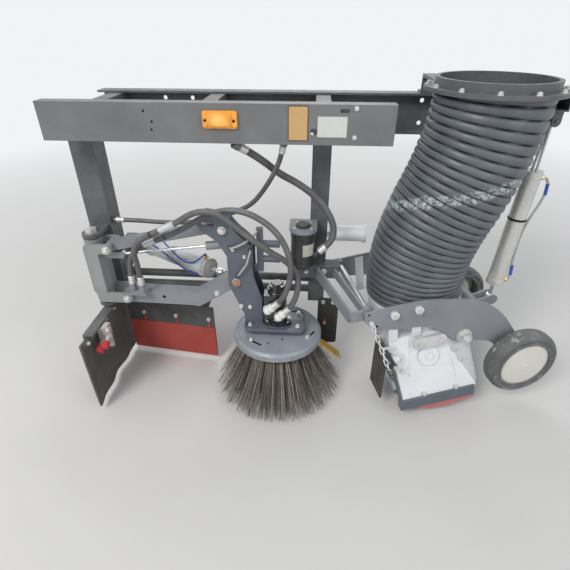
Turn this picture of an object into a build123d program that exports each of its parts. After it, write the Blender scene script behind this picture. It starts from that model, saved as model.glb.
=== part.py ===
from build123d import *
import math
import os

# Sweep gear of a street sweeper truck: a gutter broom on a parallelogram arm
# and a trailing suction nozzle with its hose, hung from a carrier that bolts
# to the side of the truck's chassis.
#
# Frame: the origin is in the middle of the carrier's chassis face.
# +X points to the truck's rear, +Y into the chassis, +Z up. Places are given
# as X, the distance out from the chassis face, and the height above the road.

# Carrier
GEAR_HEIGHT = 1060.0
RAIL_FRONT = -930.0
RAIL_REAR = 880.0
RAIL_TALL = 160.0
RAIL_DEEP = 70.0
RAIL_WALL = 8.0
CHASSIS_HOLE_R = 9.0
CHASSIS_HOLE_GAP_X = 120.0
CHASSIS_HOLE_GAP_Z = 90.0
CHASSIS_FRONT_X = -600.0
CHASSIS_REAR_X = 500.0

BEAM_OUT = 580.0
BEAM_FRONT = -900.0
BEAM_REAR = 245.0
BEAM_BOTTOM = GEAR_HEIGHT - 6.0
BEAM_TALL = 122.0
BEAM_DEEP = 50.0
BEAM_WALL = 6.0
BEAM_HOLE = (-8.0, BEAM_BOTTOM + 40.0)
BEAM_HOLE_R = 11.0
BEAM_SLOT_HEIGHT = BEAM_BOTTOM + 103.0
BEAM_SLOT = ((78.0, BEAM_SLOT_HEIGHT), (96.0, BEAM_SLOT_HEIGHT))
BEAM_SLOT_WIDE = 13.0

CROSS_WIDE = 60.0
CROSS_TALL = 70.0
CROSS_BOTTOM = GEAR_HEIGHT + 1.0
CROSS_WALL = 5.0

# Marker lamp on the side beam
LAMP_X = -303.0
LAMP_HEIGHT = BEAM_BOTTOM + 74.0
LAMP_WIDE = 112.0
LAMP_TALL = 54.0
LAMP_DEEP = 22.0

# Front post, which carries the broom's swing pin
POST_X = -850.0
POST_OUT = 405.0
POST_SIZE = 90.0
POST_BOTTOM = 360.0
POST_WALL = 6.0
POST_ARM_REACH = 20.0
SWING_OUT = POST_OUT + 125.0
FORK_LOW = 392.0
FORK_HIGH = 684.0
FORK_THICK = 15.0
SWING_PIN_R = 15.0
RUNNING_GAP = 0.5
SIDE_GAP = 6.0

# Broom arm, link and head: pivots in the arm's vertical plane as X, height
ARM_OUT = SWING_OUT
ARM_WIDE = 60.0
ARM_TALL = 56.0
ARM_WALL = 5.0
ARM_ROOT = (-740.0, 430.0)
ARM_BEND = (-452.0, 424.0)
ARM_TIP = (-288.0, 528.0)
LINK_RISE = (-40.0, 219.0)
LINK_TALL = 38.0
LINK_WIDE = 34.0
PIVOT_PIN_R = 10.0
CHEEK = 12.0
CHEEK_GAP = ARM_WIDE + 2 * SIDE_GAP

# Brush
BRUSH_X = -130.0
BRUSH_OUT = ARM_OUT + 32.0
GUARD_R = 180.0
GUARD_TOP = 302.0
GUARD_RIM = 32.0
GUARD_WALL = 4.0
DECK_BOTTOM = 322.0
DECK_THICK = 10.0
MOTOR_R = 38.0
MOTOR_TALL = 170.0
PORT_R = 13.0
PORT_REACH = 36.0
SHAFT_R = 15.0
CORE_R = 150.0
CORE_TOP = 266.0
CORE_THICK = 16.0
TIP_HEIGHT = 26.0
TUFT_RADII = (130.0, 96.0)
TUFT_COUNTS = (24, 16)
TUFT_SPLAYS = (27.0, 13.0)
TUFT_TOP_R = 9.0
TUFT_TIP_R = 15.0

# Swing cylinder between the front post's bracket and the broom arm
SWING_BASE = (-790.0, 200.0, 490.0)
SWING_EYE = (-375.0, ARM_OUT - 68.0, 500.0)
SWING_LUG_GAP = 26.0
SWING_LUG_THICK = 12.0
SWING_EYE_THICK = 16.0
OPEN_GAP = 8.5
SWING_BARREL_R = 39.0
SWING_ROD_R = 10.0
SWING_NUT_R = 13.0
SWING_NUT = (-52.0, -42.0)
SWING_BARREL_END = -60.0

# Steady cylinder between the swing knuckle and the broom head
STEADY_HEAD = (-292.0, 672.0)
STEADY_KNUCKLE = (-744.0, 610.0)
STEADY_BARREL_R = 17.0
STEADY_ROD_R = 6.0
STEADY_BARREL = 92.0
STEADY_PIN_R = 5.0

# Lower tubes, the hanging post and the carrier tube
STRETCHER_OUT = 320.0
STRETCHER_HEIGHTS = (405.0, 350.0)
STRETCHER_R = 17.0
HANGER_X = 25.0
HANGER_OUT = 345.0
HANGER_SIZE = 70.0
HANGER_BOTTOM = 320.0
TUBE_FRONT = -60.0
TUBE_REAR = 116.0
TUBE_SIZE = 60.0
TUBE_HEIGHT = 505.0
TUBE_OUT = HANGER_OUT + HANGER_SIZE / 2 + TUBE_SIZE / 2

# A-shaped drawbar: where its outer bars leave the carrier tube, and their section
DRAWBAR_STARTS = (25.0, 98.0)
DRAWBAR_TALL = 50.0
DRAWBAR_SLIM = 34.0
DRAWBAR_THICK = 10.0

# Filter canister on its bracket
FILTER_X = -36.0
FILTER_OUT = 452.0
FILTER_R = 47.0
FILTER_GAP = 10.0
FILTER_BOTTOM = TUBE_HEIGHT + TUBE_SIZE / 2 + FILTER_GAP
FILTER_TOP = FILTER_BOTTOM + 155.0

# Air cylinder behind the hanging post
AIR_OUT = HANGER_OUT - 35.0
AIR_HEIGHT = TUBE_HEIGHT + 120.0
AIR_R = 33.0
AIR_CAP_R = 38.0
AIR_CAP = 16.0
AIR_LENGTH = 151.0
AIR_STUB = 14.0
AIR_STUB_R = 12.0

# Deflector behind the broom arm, and the front flap
DEFLECTOR_FRONT = (-848.0, 386.0)
DEFLECTOR_REAR = (-430.0, 437.0)
DEFLECTOR_TOP = 300.0
DEFLECTOR_JOIN = 185.0
DEFLECTOR_BOTTOM = 22.0
DEFLECTOR_THICK = 5.0
APRON_THICK = 10.0
FLAP_X = -866.0
FLAP_THICK = 10.0
FLAP_OUTER = 790.0
FLAP_INNER = 400.0
FLAP_TOP = 345.0
FLAP_BOTTOM = 28.0

# Couplings on the front flap's bracket: upper corner of their plate
COUPLING_X = -842.0
COUPLING_OUT = 684.0
COUPLING_TOP = POST_BOTTOM - 8.0
COUPLING_PLATE = 12.0
COUPLING_R = 10.0
COUPLING_CAP_R = 14.0
COUPLING_CAPS = ((14.0, 62.0), (40.0, 40.0))

# Trailing nozzle unit: its frame has u along the side plates from the hinge
# pin, v inward from the outer plate and w up, and is turned and raised as a
# whole about the hinge pin
HINGE = (218.0, 692.0, 474.0)
UNIT_YAW = 14.0
UNIT_RAISE = 7.6
PLATE = 8.0
PLATE_GAP = 402.0
HINGE_PIN_R = 14.0
PIN_COVER = 3.0
GREASE_HOLE_R = 4.5
HOSE_U = 258.0
HOSE_V = PLATE_GAP / 2
HOSE_R = 190.0
HOSE_WALL = 14.0
COLLAR_TOP = -60.0
HOPPER_TOP = -150.0
HOPPER_SKIRT = -391.0
HOPPER_BOTTOM = -425.0
HOPPER_WALL = 8.0
HOPPER_TOP_V = 10.0
HOPPER_TOP_U = (78.0, 440.0)
HOPPER_LOW_U = (100.0, 432.0)
HOPPER_NOSE_V = (262.0, 100.0)
HOPPER_NOSE_U = (72.0, 162.0)
SKIRT_V = -87.0
BAR_THICK = 10.0
BAR_BOTTOM = -443.0
RUBBER_BOTTOM = -480.0
CROSS_SHAFT = (500.0, -160.0)
CROSS_SHAFT_R = 22.0
FLAP_PIN = (62.0, -184.0)
FLAP_PIN_R = 7.0
FLAP_SPAN = (-24.0, 92.0)
FLAP_DROP = 226.0
FLAP_LEVER = (-34.0, 8.0)
CHAIN_HOLE = (6.0, -32.0)
SPARE_HOLE = (28.0, -52.0)
CHAIN_V = (-24.0, -118.0)
CHAIN_PIN_R = 3.0
CHAIN_SLACK = 2.3
CHAIN_LINKS = 7
CHAIN_WIRE = 5.0
CHAIN_SLOT = 7.5
LIFT_EYE = (574.0, -152.0)
LEVER_PIN_R = 9.0
LEVER_PIN_GAP = 2.5
LIFT_V = 140.0
WHEEL = (611.0, -346.0)
WHEEL_R = 146.0
WHEEL_WIDE = 74.0
WHEEL_CAP_R = 102.0
WHEEL_GAP = 16.0
AXLE_R = 13.0
NOZZLE_PIVOT = (382.0, -193.0)

# Lift cylinder, in the unit's vertical planes: top pivot as distance along
# the unit's heading from the hinge pin, and height above the road
LIFT_TOP = (626.0, GEAR_HEIGHT + 46.0)
LIFT_BARREL_R = 31.5
LIFT_BARREL = 468.0
LIFT_ROD_R = 9.0
LIFT_PIN_R = 8.0
LIFT_PISTON_R = 18.5
LIFT_GLAND = 70.0
LIFT_HANGER_WIDE = 50.0

# Hose route between the nozzle collar and the flange: X, out and height
HOSE_TOP = (572.0, 425.0, GEAR_HEIGHT + 140.0)
HOSE_RISE = 165.0
HOSE_DROP = 170.0
FLANGE_R = 222.0
FLANGE_THICK = 12.0

# Hydraulic hoses, each from its fitting along points given as X, out, height
MOTOR_HOSE_R = 11.0
LOWER_HOSE = (
    (-140.0, 632.0, 455.0), (-104.0, 641.0, 492.0), (-80.0, 652.0, 562.0), (-68.0, 657.0, 645.0),
    (-92.0, 649.0, 735.0), (-155.0, 630.0, 803.0), (-255.0, 610.0, 843.0), (-360.0, 600.0, 822.0),
    (-470.0, 597.0, 752.0), (-575.0, 586.0, 702.0), (-665.0, 572.0, 660.0), (-712.0, 566.0, 588.0),
    (-712.0, 566.0, 500.0),
)
UPPER_HOSE = (
    (-98.0, 632.0, 428.0), (-68.0, 636.0, 462.0), (-46.0, 636.0, 528.0), (-46.0, 630.0, 600.0),
    (-88.0, 624.0, 652.0), (-158.0, 620.0, 690.0), (-238.0, 624.0, 752.0), (-300.0, 631.0, 812.0),
    (-350.0, 636.0, 842.0), (-410.0, 636.0, 836.0), (-480.0, 631.0, 790.0), (-560.0, 625.0, 752.0),
    (-634.0, 616.0, 710.0), (-666.0, 604.0, 655.0), (-668.0, 582.0, 590.0), (-668.0, 582.0, 505.0),
)
FILTER_HOSE_R = 13.0
FILTER_HOSE = (
    (-253.0, 548.0, BEAM_BOTTOM - 15.0), (-192.0, 500.0, BEAM_BOTTOM - 66.0), (-130.0, 446.0, 918.0), (-52.0, 432.0, 874.0),
    (22.0, 430.0, 816.0), (68.0, 432.0, 750.0), (86.0, 437.0, 692.0), (74.0, 445.0, 642.0),
    (30.0, 452.0, 607.0),
)
FEED_HOSE_R = 9.0
FEED_HOSE = (
    (-105.0, 548.0, BEAM_BOTTOM - 8.0), (-116.0, 524.0, BEAM_BOTTOM - 57.0), (-138.0, 507.0, 943.0), (-178.0, 478.0, 871.0),
    (-233.0, 446.0, 796.0), (-300.0, 428.0, 757.0), (-395.0, 425.0, 722.0), (-505.0, 422.0, 702.0),
    (-615.0, 427.0, 703.0), (-705.0, 425.0, 708.0), (-790.0, 425.0, 708.0),
)
GLAND_WALL = 4.0
GLAND_LENGTH = 22.0
BULKHEAD = 8.0


def at(x, out, height):
    """Point from X, distance out from the chassis face and height over road."""
    return Vector(x, -out, height - GEAR_HEIGHT)


def block(x, out, height):
    """Box from three (low, high) pairs."""
    size = (x[1] - x[0], out[1] - out[0], height[1] - height[0])
    middle = at((x[0] + x[1]) / 2, (out[0] + out[1]) / 2, (height[0] + height[1]) / 2)
    return Pos(*middle) * Box(*size)


def box_tube(x, out, height, wall, axis):
    """Hollow box, open at its two ends along one axis."""
    pairs = [x, out, height]
    inner = [(low + wall, high - wall) for low, high in pairs]
    inner[axis] = (pairs[axis][0] - 1, pairs[axis][1] + 1)
    return block(*pairs) - block(*inner)


def rod(start, end, radius, bore=0.0):
    """Round bar, or tube, between two points."""
    start, end = Vector(*start), Vector(*end)
    plane = Plane(origin=start, z_dir=end - start)
    face = Circle(radius)
    if bore:
        face -= Circle(bore)
    return extrude(plane * face, amount=(end - start).length)


def flat_bar(start, end, tall, thick):
    """Flat bar on edge between two points."""
    start, end = Vector(*start), Vector(*end)
    along = end - start
    side = Vector(0, 0, 1).cross(along)
    plane = Plane(origin=start, x_dir=side, z_dir=along)
    return extrude(plane * Rectangle(thick, tall), amount=along.length)


def capsule(start, end, width):
    """Sketch of a bar with round ends between two points of its plane."""
    run = Vector(*end) - Vector(*start)
    middle = (Vector(*start) + Vector(*end)) / 2
    turn = math.degrees(math.atan2(run.Y, run.X))
    return Pos(middle.X, middle.Y) * Rot(0, 0, turn) * SlotCenterToCenter(run.length, width)


def raised(point):
    """Height over the road to height in the part's frame, for sketches."""
    return (point[0], point[1] - GEAR_HEIGHT)


def slab(sketch, near, far):
    """Upright plate of a sketch in X and Z, between two distances out."""
    return extrude(Plane.XZ.offset(near) * sketch, amount=far - near)


def in_unit(sketch, v_low, v_high):
    """Upright plate of a sketch in u and w, between two distances inward."""
    return extrude(Plane.XZ.offset(-v_high) * sketch, amount=v_high - v_low)


def unit_frame(raise_by):
    """Place of the nozzle unit's frame in the part's frame."""
    hinge = at(*HINGE)
    yaw = Location((0, 0, 0), (0, 0, UNIT_YAW))
    pitch = Location((0, 0, 0), (0, -raise_by, 0))
    return Location(tuple(hinge)) * yaw * pitch


def shifted(point, step):
    return (point[0] + step[0], point[1] + step[1])


def eased_route(points):
    """Straight runs joined by arcs as large as the shorter run beside each allows."""
    radii = []
    for before, here, after in zip(points, points[1:], points[2:]):
        turn = math.radians((here - before).get_angle(after - here))
        shorter = min((here - before).length, (after - here).length)
        radii.append(0.45 * shorter / math.tan(turn / 2))
    print("radii along the route", [round(radius) for radius in radii])
    return FilletPolyline(*points, radius=radii)


def make_line(route, radius):
    """Hydraulic hose along its route."""
    points = [at(*point) for point in route]
    start = Plane(origin=points[0], z_dir=points[1] - points[0])
    return sweep(start * Circle(radius), path=eased_route(points))


def gland(tip, beyond, radius, length):
    """Fitting that ends at a hose's tip and leads back from it."""
    tip, beyond = at(*tip), at(*beyond)
    back = (tip - beyond).normalized() * length
    return rod(tip + back, tip, radius)


UNIT = unit_frame(UNIT_RAISE)
HEADING = unit_frame(0.0)
LINK_ROOT = shifted(ARM_ROOT, LINK_RISE)
LINK_TIP = shifted(ARM_TIP, LINK_RISE)
CHEEK_NEAR = ARM_OUT - CHEEK_GAP / 2
CHEEK_FAR = ARM_OUT + CHEEK_GAP / 2
nodes = {}


# Carrier

def chassis_holes(middle_x):
    holes = []
    for step_x in (-CHASSIS_HOLE_GAP_X / 2, CHASSIS_HOLE_GAP_X / 2):
        for step_z in (-CHASSIS_HOLE_GAP_Z / 2, CHASSIS_HOLE_GAP_Z / 2):
            start = (middle_x + step_x, 1, step_z)
            end = (middle_x + step_x, -RAIL_WALL - 1, step_z)
            holes.append(rod(start, end, CHASSIS_HOLE_R))
    return holes


def make_rail():
    low = GEAR_HEIGHT - RAIL_TALL / 2
    high = GEAR_HEIGHT + RAIL_TALL / 2
    rail = block((RAIL_FRONT, RAIL_REAR), (0, RAIL_DEEP), (low, high))
    hollow = (low + RAIL_WALL, high - RAIL_WALL)
    rail -= block((RAIL_FRONT - 1, RAIL_REAR + 1), (RAIL_WALL, RAIL_DEEP + 1), hollow)
    for hole in chassis_holes(CHASSIS_FRONT_X) + chassis_holes(CHASSIS_REAR_X):
        rail -= hole
    return rail


def make_beam():
    top = BEAM_BOTTOM + BEAM_TALL
    beam = block((BEAM_FRONT, BEAM_REAR), (BEAM_OUT - BEAM_DEEP, BEAM_OUT), (BEAM_BOTTOM, top))
    inside = (BEAM_OUT - BEAM_DEEP - 1, BEAM_OUT - BEAM_WALL)
    hollow = (BEAM_BOTTOM + BEAM_WALL, top - BEAM_WALL)
    beam -= block((BEAM_FRONT - 1, BEAM_REAR + 1), inside, hollow)
    hole = Pos(*raised(BEAM_HOLE)) * Circle(BEAM_HOLE_R)
    slot = capsule(raised(BEAM_SLOT[0]), raised(BEAM_SLOT[1]), BEAM_SLOT_WIDE)
    for cut in (hole, slot):
        beam -= slab(cut, BEAM_OUT - BEAM_WALL - 1, BEAM_OUT + 1)
    for route, radius in ((FILTER_HOSE, FILTER_HOSE_R), (FEED_HOSE, FEED_HOSE_R)):
        beam += gland(route[0], route[1], radius + GLAND_WALL, GLAND_LENGTH)
    return beam


def make_cross_arms():
    height = (CROSS_BOTTOM, CROSS_BOTTOM + CROSS_TALL)
    reach = (RAIL_WALL, BEAM_OUT - BEAM_WALL)
    arms = []
    for x in (POST_X, (POST_X + HANGER_X) / 2, HANGER_X):
        arms.append(box_tube((x - CROSS_WIDE / 2, x + CROSS_WIDE / 2), reach, height, CROSS_WALL, 1))
    return Compound(arms)


def make_lamp():
    base = Rectangle(LAMP_WIDE, LAMP_TALL)
    base = fillet(base.vertices(), 8)
    lens = Rectangle(LAMP_WIDE - 6, LAMP_TALL - 6)
    lens = fillet(lens.vertices(), 7)
    place = Pos(LAMP_X, LAMP_HEIGHT - GEAR_HEIGHT)
    lamp = slab(place * base, BEAM_OUT, BEAM_OUT + 6)
    lamp += slab(place * lens, BEAM_OUT + 6, BEAM_OUT + LAMP_DEEP)
    front = lamp.faces().sort_by(Axis.Y)[0]
    return fillet(front.edges(), 5)


def make_front_post():
    half = POST_SIZE / 2
    across = (POST_X - half, POST_X + half)
    post = box_tube(across, (POST_OUT - half, POST_OUT + half), (POST_BOTTOM, CROSS_BOTTOM), POST_WALL, 2)
    reach = SWING_OUT - POST_OUT - half
    for bottom in (FORK_LOW - FORK_THICK, FORK_HIGH):
        ear = Pos(0, -reach / 2) * Rectangle(POST_SIZE - 20, reach) + Pos(0, -reach) * Circle(half - 10)
        ear -= Pos(0, -reach) * Circle(SWING_PIN_R)
        place = Pos(*at(POST_X, POST_OUT + half, bottom))
        post += place * extrude(ear, amount=FORK_THICK)
    base = SWING_BASE
    arm_low, arm_high = base[2] - 40, base[2] + 40
    arm_x = (POST_X - 30, POST_X + POST_ARM_REACH)
    post += box_tube(arm_x, (base[1] - 30, POST_OUT - half), (arm_low, arm_high), POST_WALL, 1)
    lug_start = POST_X + POST_ARM_REACH
    for low in (base[2] - SWING_LUG_GAP - SWING_LUG_THICK, base[2] + SWING_LUG_GAP):
        lug = Pos((lug_start - base[0]) / 2, 0) * Rectangle(base[0] - lug_start, 44) + Circle(22)
        lug -= Circle(8)
        post += Pos(*at(base[0], base[1], low)) * extrude(lug, amount=SWING_LUG_THICK)
    back = POST_OUT - half
    low, high = STRETCHER_HEIGHTS[1] - 25, STRETCHER_HEIGHTS[0] + 22
    x_end = POST_X + half
    post += block((x_end - 12, x_end), (STRETCHER_OUT - 25, back), (low, high))
    reach = FEED_HOSE[-1][0] - x_end + POST_WALL / 2
    post += gland(FEED_HOSE[-1], FEED_HOSE[-2], FEED_HOSE_R + GLAND_WALL, reach)
    return post


def make_swing_pin():
    low = FORK_LOW - FORK_THICK - 4
    high = FORK_HIGH + FORK_THICK
    pin = rod(at(POST_X, SWING_OUT, low), at(POST_X, SWING_OUT, high), SWING_PIN_R)
    hexagon = RegularPolygon(23, 6)
    pin += Pos(*at(POST_X, SWING_OUT, high)) * extrude(hexagon, amount=16)
    return pin


def make_hanging_post():
    half = HANGER_SIZE / 2
    across = (HANGER_X - half, HANGER_X + half)
    deep = (HANGER_OUT - half, HANGER_OUT + half)
    post = box_tube(across, deep, (HANGER_BOTTOM, CROSS_BOTTOM), POST_WALL, 2)
    tube_low = TUBE_HEIGHT - TUBE_SIZE / 2
    tube_high = TUBE_HEIGHT + TUBE_SIZE / 2
    outer = HANGER_OUT + half
    tube = box_tube((TUBE_FRONT, TUBE_REAR), (outer, outer + TUBE_SIZE), (tube_low, tube_high), POST_WALL, 0)
    return post + tube


def make_stretchers():
    start_x = POST_X + POST_SIZE / 2
    end_x = HANGER_X - HANGER_SIZE / 2
    tubes = []
    for height in STRETCHER_HEIGHTS:
        start = at(start_x, STRETCHER_OUT, height)
        tubes.append(rod(start, at(end_x, STRETCHER_OUT, height), STRETCHER_R, STRETCHER_R - 4))
    return Compound(tubes)


def make_filter():
    can = rod(at(FILTER_X, FILTER_OUT, FILTER_BOTTOM), at(FILTER_X, FILTER_OUT, FILTER_TOP), FILTER_R)
    can = fillet(can.edges().filter_by(GeomType.CIRCLE).sort_by(Axis.Z)[0], 10)
    seat = HANGER_OUT + HANGER_SIZE / 2
    reach = FILTER_OUT - seat
    cap = Rectangle(2 * FILTER_R + 14, reach) + Pos(0, -reach / 2) * Circle(FILTER_R + 7)
    plate = Pos(*at(FILTER_X, (FILTER_OUT + seat) / 2, FILTER_TOP)) * extrude(cap, amount=14)
    inlet = gland(FILTER_HOSE[-1], FILTER_HOSE[-2], FILTER_HOSE_R + GLAND_WALL, FILTER_R)
    return can + plate + inlet


def make_air_cylinder():
    """Polished cylinder on the hanging post, along the truck behind the hose."""
    start_x = HANGER_X + HANGER_SIZE / 2
    front = start_x + AIR_STUB
    rear = front + AIR_LENGTH
    tube = rod(at(front, AIR_OUT, AIR_HEIGHT), at(rear, AIR_OUT, AIR_HEIGHT), AIR_R)
    tube += rod(at(front, AIR_OUT, AIR_HEIGHT), at(front + AIR_CAP, AIR_OUT, AIR_HEIGHT), AIR_CAP_R)
    tube += rod(at(rear - AIR_CAP, AIR_OUT, AIR_HEIGHT), at(rear, AIR_OUT, AIR_HEIGHT), AIR_CAP_R)
    stub_out = HANGER_OUT - 20
    tube += rod(at(start_x, stub_out, AIR_HEIGHT), at(front, stub_out, AIR_HEIGHT), AIR_STUB_R)
    return tube


def make_drawbar():
    """Two bars that meet at the outer hinge eye, and one to the inner eye."""
    outer = HANGER_OUT + HANGER_SIZE / 2 + TUBE_SIZE
    bend = UNIT_POINT(-66, 18, -6)
    outer_start = at(DRAWBAR_STARTS[0], outer - 1, TUBE_HEIGHT)
    inner_start = at(DRAWBAR_STARTS[1], outer - 1, TUBE_HEIGHT)
    rear_start = at(TUBE_REAR - 15, outer - TUBE_SIZE / 2, TUBE_HEIGHT)
    bar = flat_bar(outer_start, bend, DRAWBAR_TALL, DRAWBAR_THICK)
    bar += flat_bar(bend, UNIT_POINT(-12, 14, -4), DRAWBAR_TALL - 6, DRAWBAR_THICK)
    bar += flat_bar(inner_start, UNIT_POINT(-10, 20, 2), DRAWBAR_SLIM, DRAWBAR_THICK)
    bar += flat_bar(rear_start, UNIT_POINT(-14, PLATE_GAP - 15, 0), DRAWBAR_SLIM, DRAWBAR_THICK)
    tube_low = TUBE_HEIGHT - TUBE_SIZE / 2
    tube_high = TUBE_HEIGHT + TUBE_SIZE / 2
    bar -= block((TUBE_FRONT - 1, TUBE_REAR), (outer - TUBE_SIZE - 1, outer), (tube_low, tube_high))
    for v_low, v_high in ((6, 28), (PLATE_GAP - 28, PLATE_GAP - 6)):
        bar += rod(UNIT_POINT(0, v_low, 0), UNIT_POINT(0, v_high, 0), 25.0)
    bar -= rod(UNIT_POINT(0, -1, 0), UNIT_POINT(0, PLATE_GAP + 1, 0), HINGE_PIN_R)
    return bar


def UNIT_POINT(u, v, w):
    return (UNIT * Pos(u, v, w)).position


def make_hinge_pin():
    outer_end = UNIT_POINT(0, PIN_COVER + RUNNING_GAP - PLATE, 0)
    pin = rod(outer_end, UNIT_POINT(0, PLATE_GAP + PLATE + 8, 0), HINGE_PIN_R)
    pin += rod(UNIT_POINT(0, PLATE_GAP + PLATE + 1, 0), UNIT_POINT(0, PLATE_GAP + PLATE + 8, 0), HINGE_PIN_R + 7)
    return pin


def deflector_panel(bottom, top, thick, shift):
    front, rear = DEFLECTOR_FRONT, DEFLECTOR_REAR
    start = at(front[0], front[1] + shift, (bottom + top) / 2)
    end = at(rear[0], rear[1] + shift, (bottom + top) / 2)
    return flat_bar(start, end, top - bottom, thick)


def make_deflector():
    panel = deflector_panel(DEFLECTOR_JOIN, DEFLECTOR_TOP, DEFLECTOR_THICK, 0)
    for x in (-740.0, -490.0):
        reach = DEFLECTOR_FRONT[1] + (x - DEFLECTOR_FRONT[0]) * 0.12
        stay = block((x - 20, x + 20), (STRETCHER_OUT, reach + 12), (DEFLECTOR_TOP - 50, DEFLECTOR_TOP - 42))
        stay += block((x - 20, x + 20), (STRETCHER_OUT - 4, STRETCHER_OUT + 4), (DEFLECTOR_TOP - 50, STRETCHER_HEIGHTS[1]))
        stay -= rod(at(x - 30, STRETCHER_OUT, STRETCHER_HEIGHTS[1]), at(x + 30, STRETCHER_OUT, STRETCHER_HEIGHTS[1]), STRETCHER_R)
        stay -= deflector_panel(DEFLECTOR_JOIN, DEFLECTOR_TOP, 40, 20 - DEFLECTOR_THICK / 2)
        panel += stay
    return panel


def make_flap_bracket():
    half = POST_SIZE / 2
    angle = block((FLAP_X - 6, POST_X + 20), (POST_OUT - half, 740.0), (POST_BOTTOM - 8, POST_BOTTOM))
    angle += block((FLAP_X - 6, FLAP_X), (POST_OUT - half, 740.0), (POST_BOTTOM - 50, POST_BOTTOM))
    return angle


def make_flap():
    return block((FLAP_X, FLAP_X + FLAP_THICK), (FLAP_INNER, FLAP_OUTER), (FLAP_BOTTOM, FLAP_TOP))


def make_couplings():
    x, out, top = COUPLING_X, COUPLING_OUT, COUPLING_TOP
    parts = block((x, x + 52), (out - COUPLING_PLATE, out), (top - 90, top))
    parts += block((x, x + 36), (out - 44, out - COUPLING_PLATE), (top - 52, top))
    for step, drop in COUPLING_CAPS:
        neck = at(x + step, out + 22, top - drop - 8)
        parts += rod(at(x + step, out, top - drop), neck, COUPLING_R)
        parts += rod(neck, at(x + step, out + 46, top - drop - 17), COUPLING_CAP_R)
    return parts


def make_guard_plate():
    outline = Rectangle(92, 250)
    outline = fillet(outline.vertices(), 14)
    out = HANGER_OUT + HANGER_SIZE / 2
    return slab(Pos(HANGER_X + 58, 215 - GEAR_HEIGHT) * outline, out, out + 6)


def make_hose_flange():
    top = HOSE_TOP
    ring = Circle(FLANGE_R) - Circle(HOSE_R - HOSE_WALL)
    flange = Pos(*at(*top)) * extrude(ring, amount=FLANGE_THICK)
    neck = Circle(HOSE_R) - Circle(HOSE_R - HOSE_WALL)
    flange += Pos(*at(top[0], top[1], top[2] + FLANGE_THICK)) * extrude(neck, amount=28)
    rail_top = GEAR_HEIGHT + RAIL_TALL / 2
    for side in (-1, 1):
        x = top[0] + side * 130
        foot = block((x - 25, x + 25), (0, 60), (rail_top, rail_top + 8))
        foot += block((x - 25, x + 25), (52, 60), (rail_top, top[2] + FLANGE_THICK))
        foot += block((x - 25, x + 25), (52, top[1] - 120), (top[2], top[2] + FLANGE_THICK))
        foot -= Pos(*at(top[0], top[1], top[2] - 1)) * extrude(Circle(FLANGE_R), amount=FLANGE_THICK + 2)
        flange += foot
    return flange


def make_lift_hanger():
    pivot = HEADING * Pos(LIFT_TOP[0], LIFT_V, LIFT_TOP[1] - HINGE[2])
    top = pivot.position
    rail_top = GEAR_HEIGHT + RAIL_TALL / 2
    half = LIFT_HANGER_WIDE / 2
    across = (top.X - half, top.X + half)
    arm = box_tube(across, (4, -top.Y + 40), (rail_top, rail_top + 56), CROSS_WALL, 1)
    drop = rail_top - LIFT_TOP[1]
    for side in (-1, 1):
        lug = Pos(0, drop / 2) * Rectangle(36, drop) + Circle(18)
        lug = extrude(Plane.XZ.offset(-side * 17 - 5) * lug, amount=10)
        arm += Location(tuple(top), (0, 0, UNIT_YAW)) * lug
    place, length = lift_frame()
    return arm + place * extrude(Circle(LIFT_PIN_R), amount=26, both=True)


# Swing knuckle

def make_knuckle():
    tube = Pos(*at(POST_X, SWING_OUT, FORK_LOW + 5)) * extrude(Circle(34), amount=FORK_HIGH - FORK_LOW - 10)
    spine = capsule(raised((POST_X + 8, ARM_ROOT[1])), raised((POST_X + 8, LINK_ROOT[1])), 44)
    lower = capsule(raised((POST_X + 8, ARM_ROOT[1])), raised(ARM_ROOT), 44)
    upper = capsule(raised((POST_X + 8, LINK_ROOT[1])), raised(LINK_ROOT), 40)
    ear = capsule(raised((POST_X + 8, STEADY_KNUCKLE[1])), raised(STEADY_KNUCKLE), 26)
    casting = tube
    for near, far in ((CHEEK_NEAR - CHEEK, CHEEK_NEAR), (CHEEK_FAR, CHEEK_FAR + CHEEK)):
        cheek = slab(spine + lower + upper, near, far)
        casting += cheek
    for near, far in ((ARM_OUT - 17, ARM_OUT - 9), (ARM_OUT + 9, ARM_OUT + 17)):
        casting += slab(ear, near, far)
    web = capsule(raised((POST_X, ARM_ROOT[1] + 30)), raised((POST_X, LINK_ROOT[1] - 10)), 60)
    casting += slab(web, CHEEK_NEAR - 1, CHEEK_FAR + 1)
    casting -= rod(at(POST_X, SWING_OUT, FORK_LOW), at(POST_X, SWING_OUT, FORK_HIGH), SWING_PIN_R + RUNNING_GAP)
    for pivot, radius in ((ARM_ROOT, PIVOT_PIN_R), (LINK_ROOT, PIVOT_PIN_R)):
        start = at(pivot[0], CHEEK_NEAR - CHEEK - 1, pivot[1])
        casting -= rod(start, at(pivot[0], CHEEK_FAR + CHEEK + 1, pivot[1]), radius + RUNNING_GAP)
    eye = STEADY_KNUCKLE
    casting += rod(at(eye[0], ARM_OUT - 18, eye[1]), at(eye[0], ARM_OUT + 18, eye[1]), STEADY_PIN_R)
    return casting


# Broom arm and link

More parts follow.
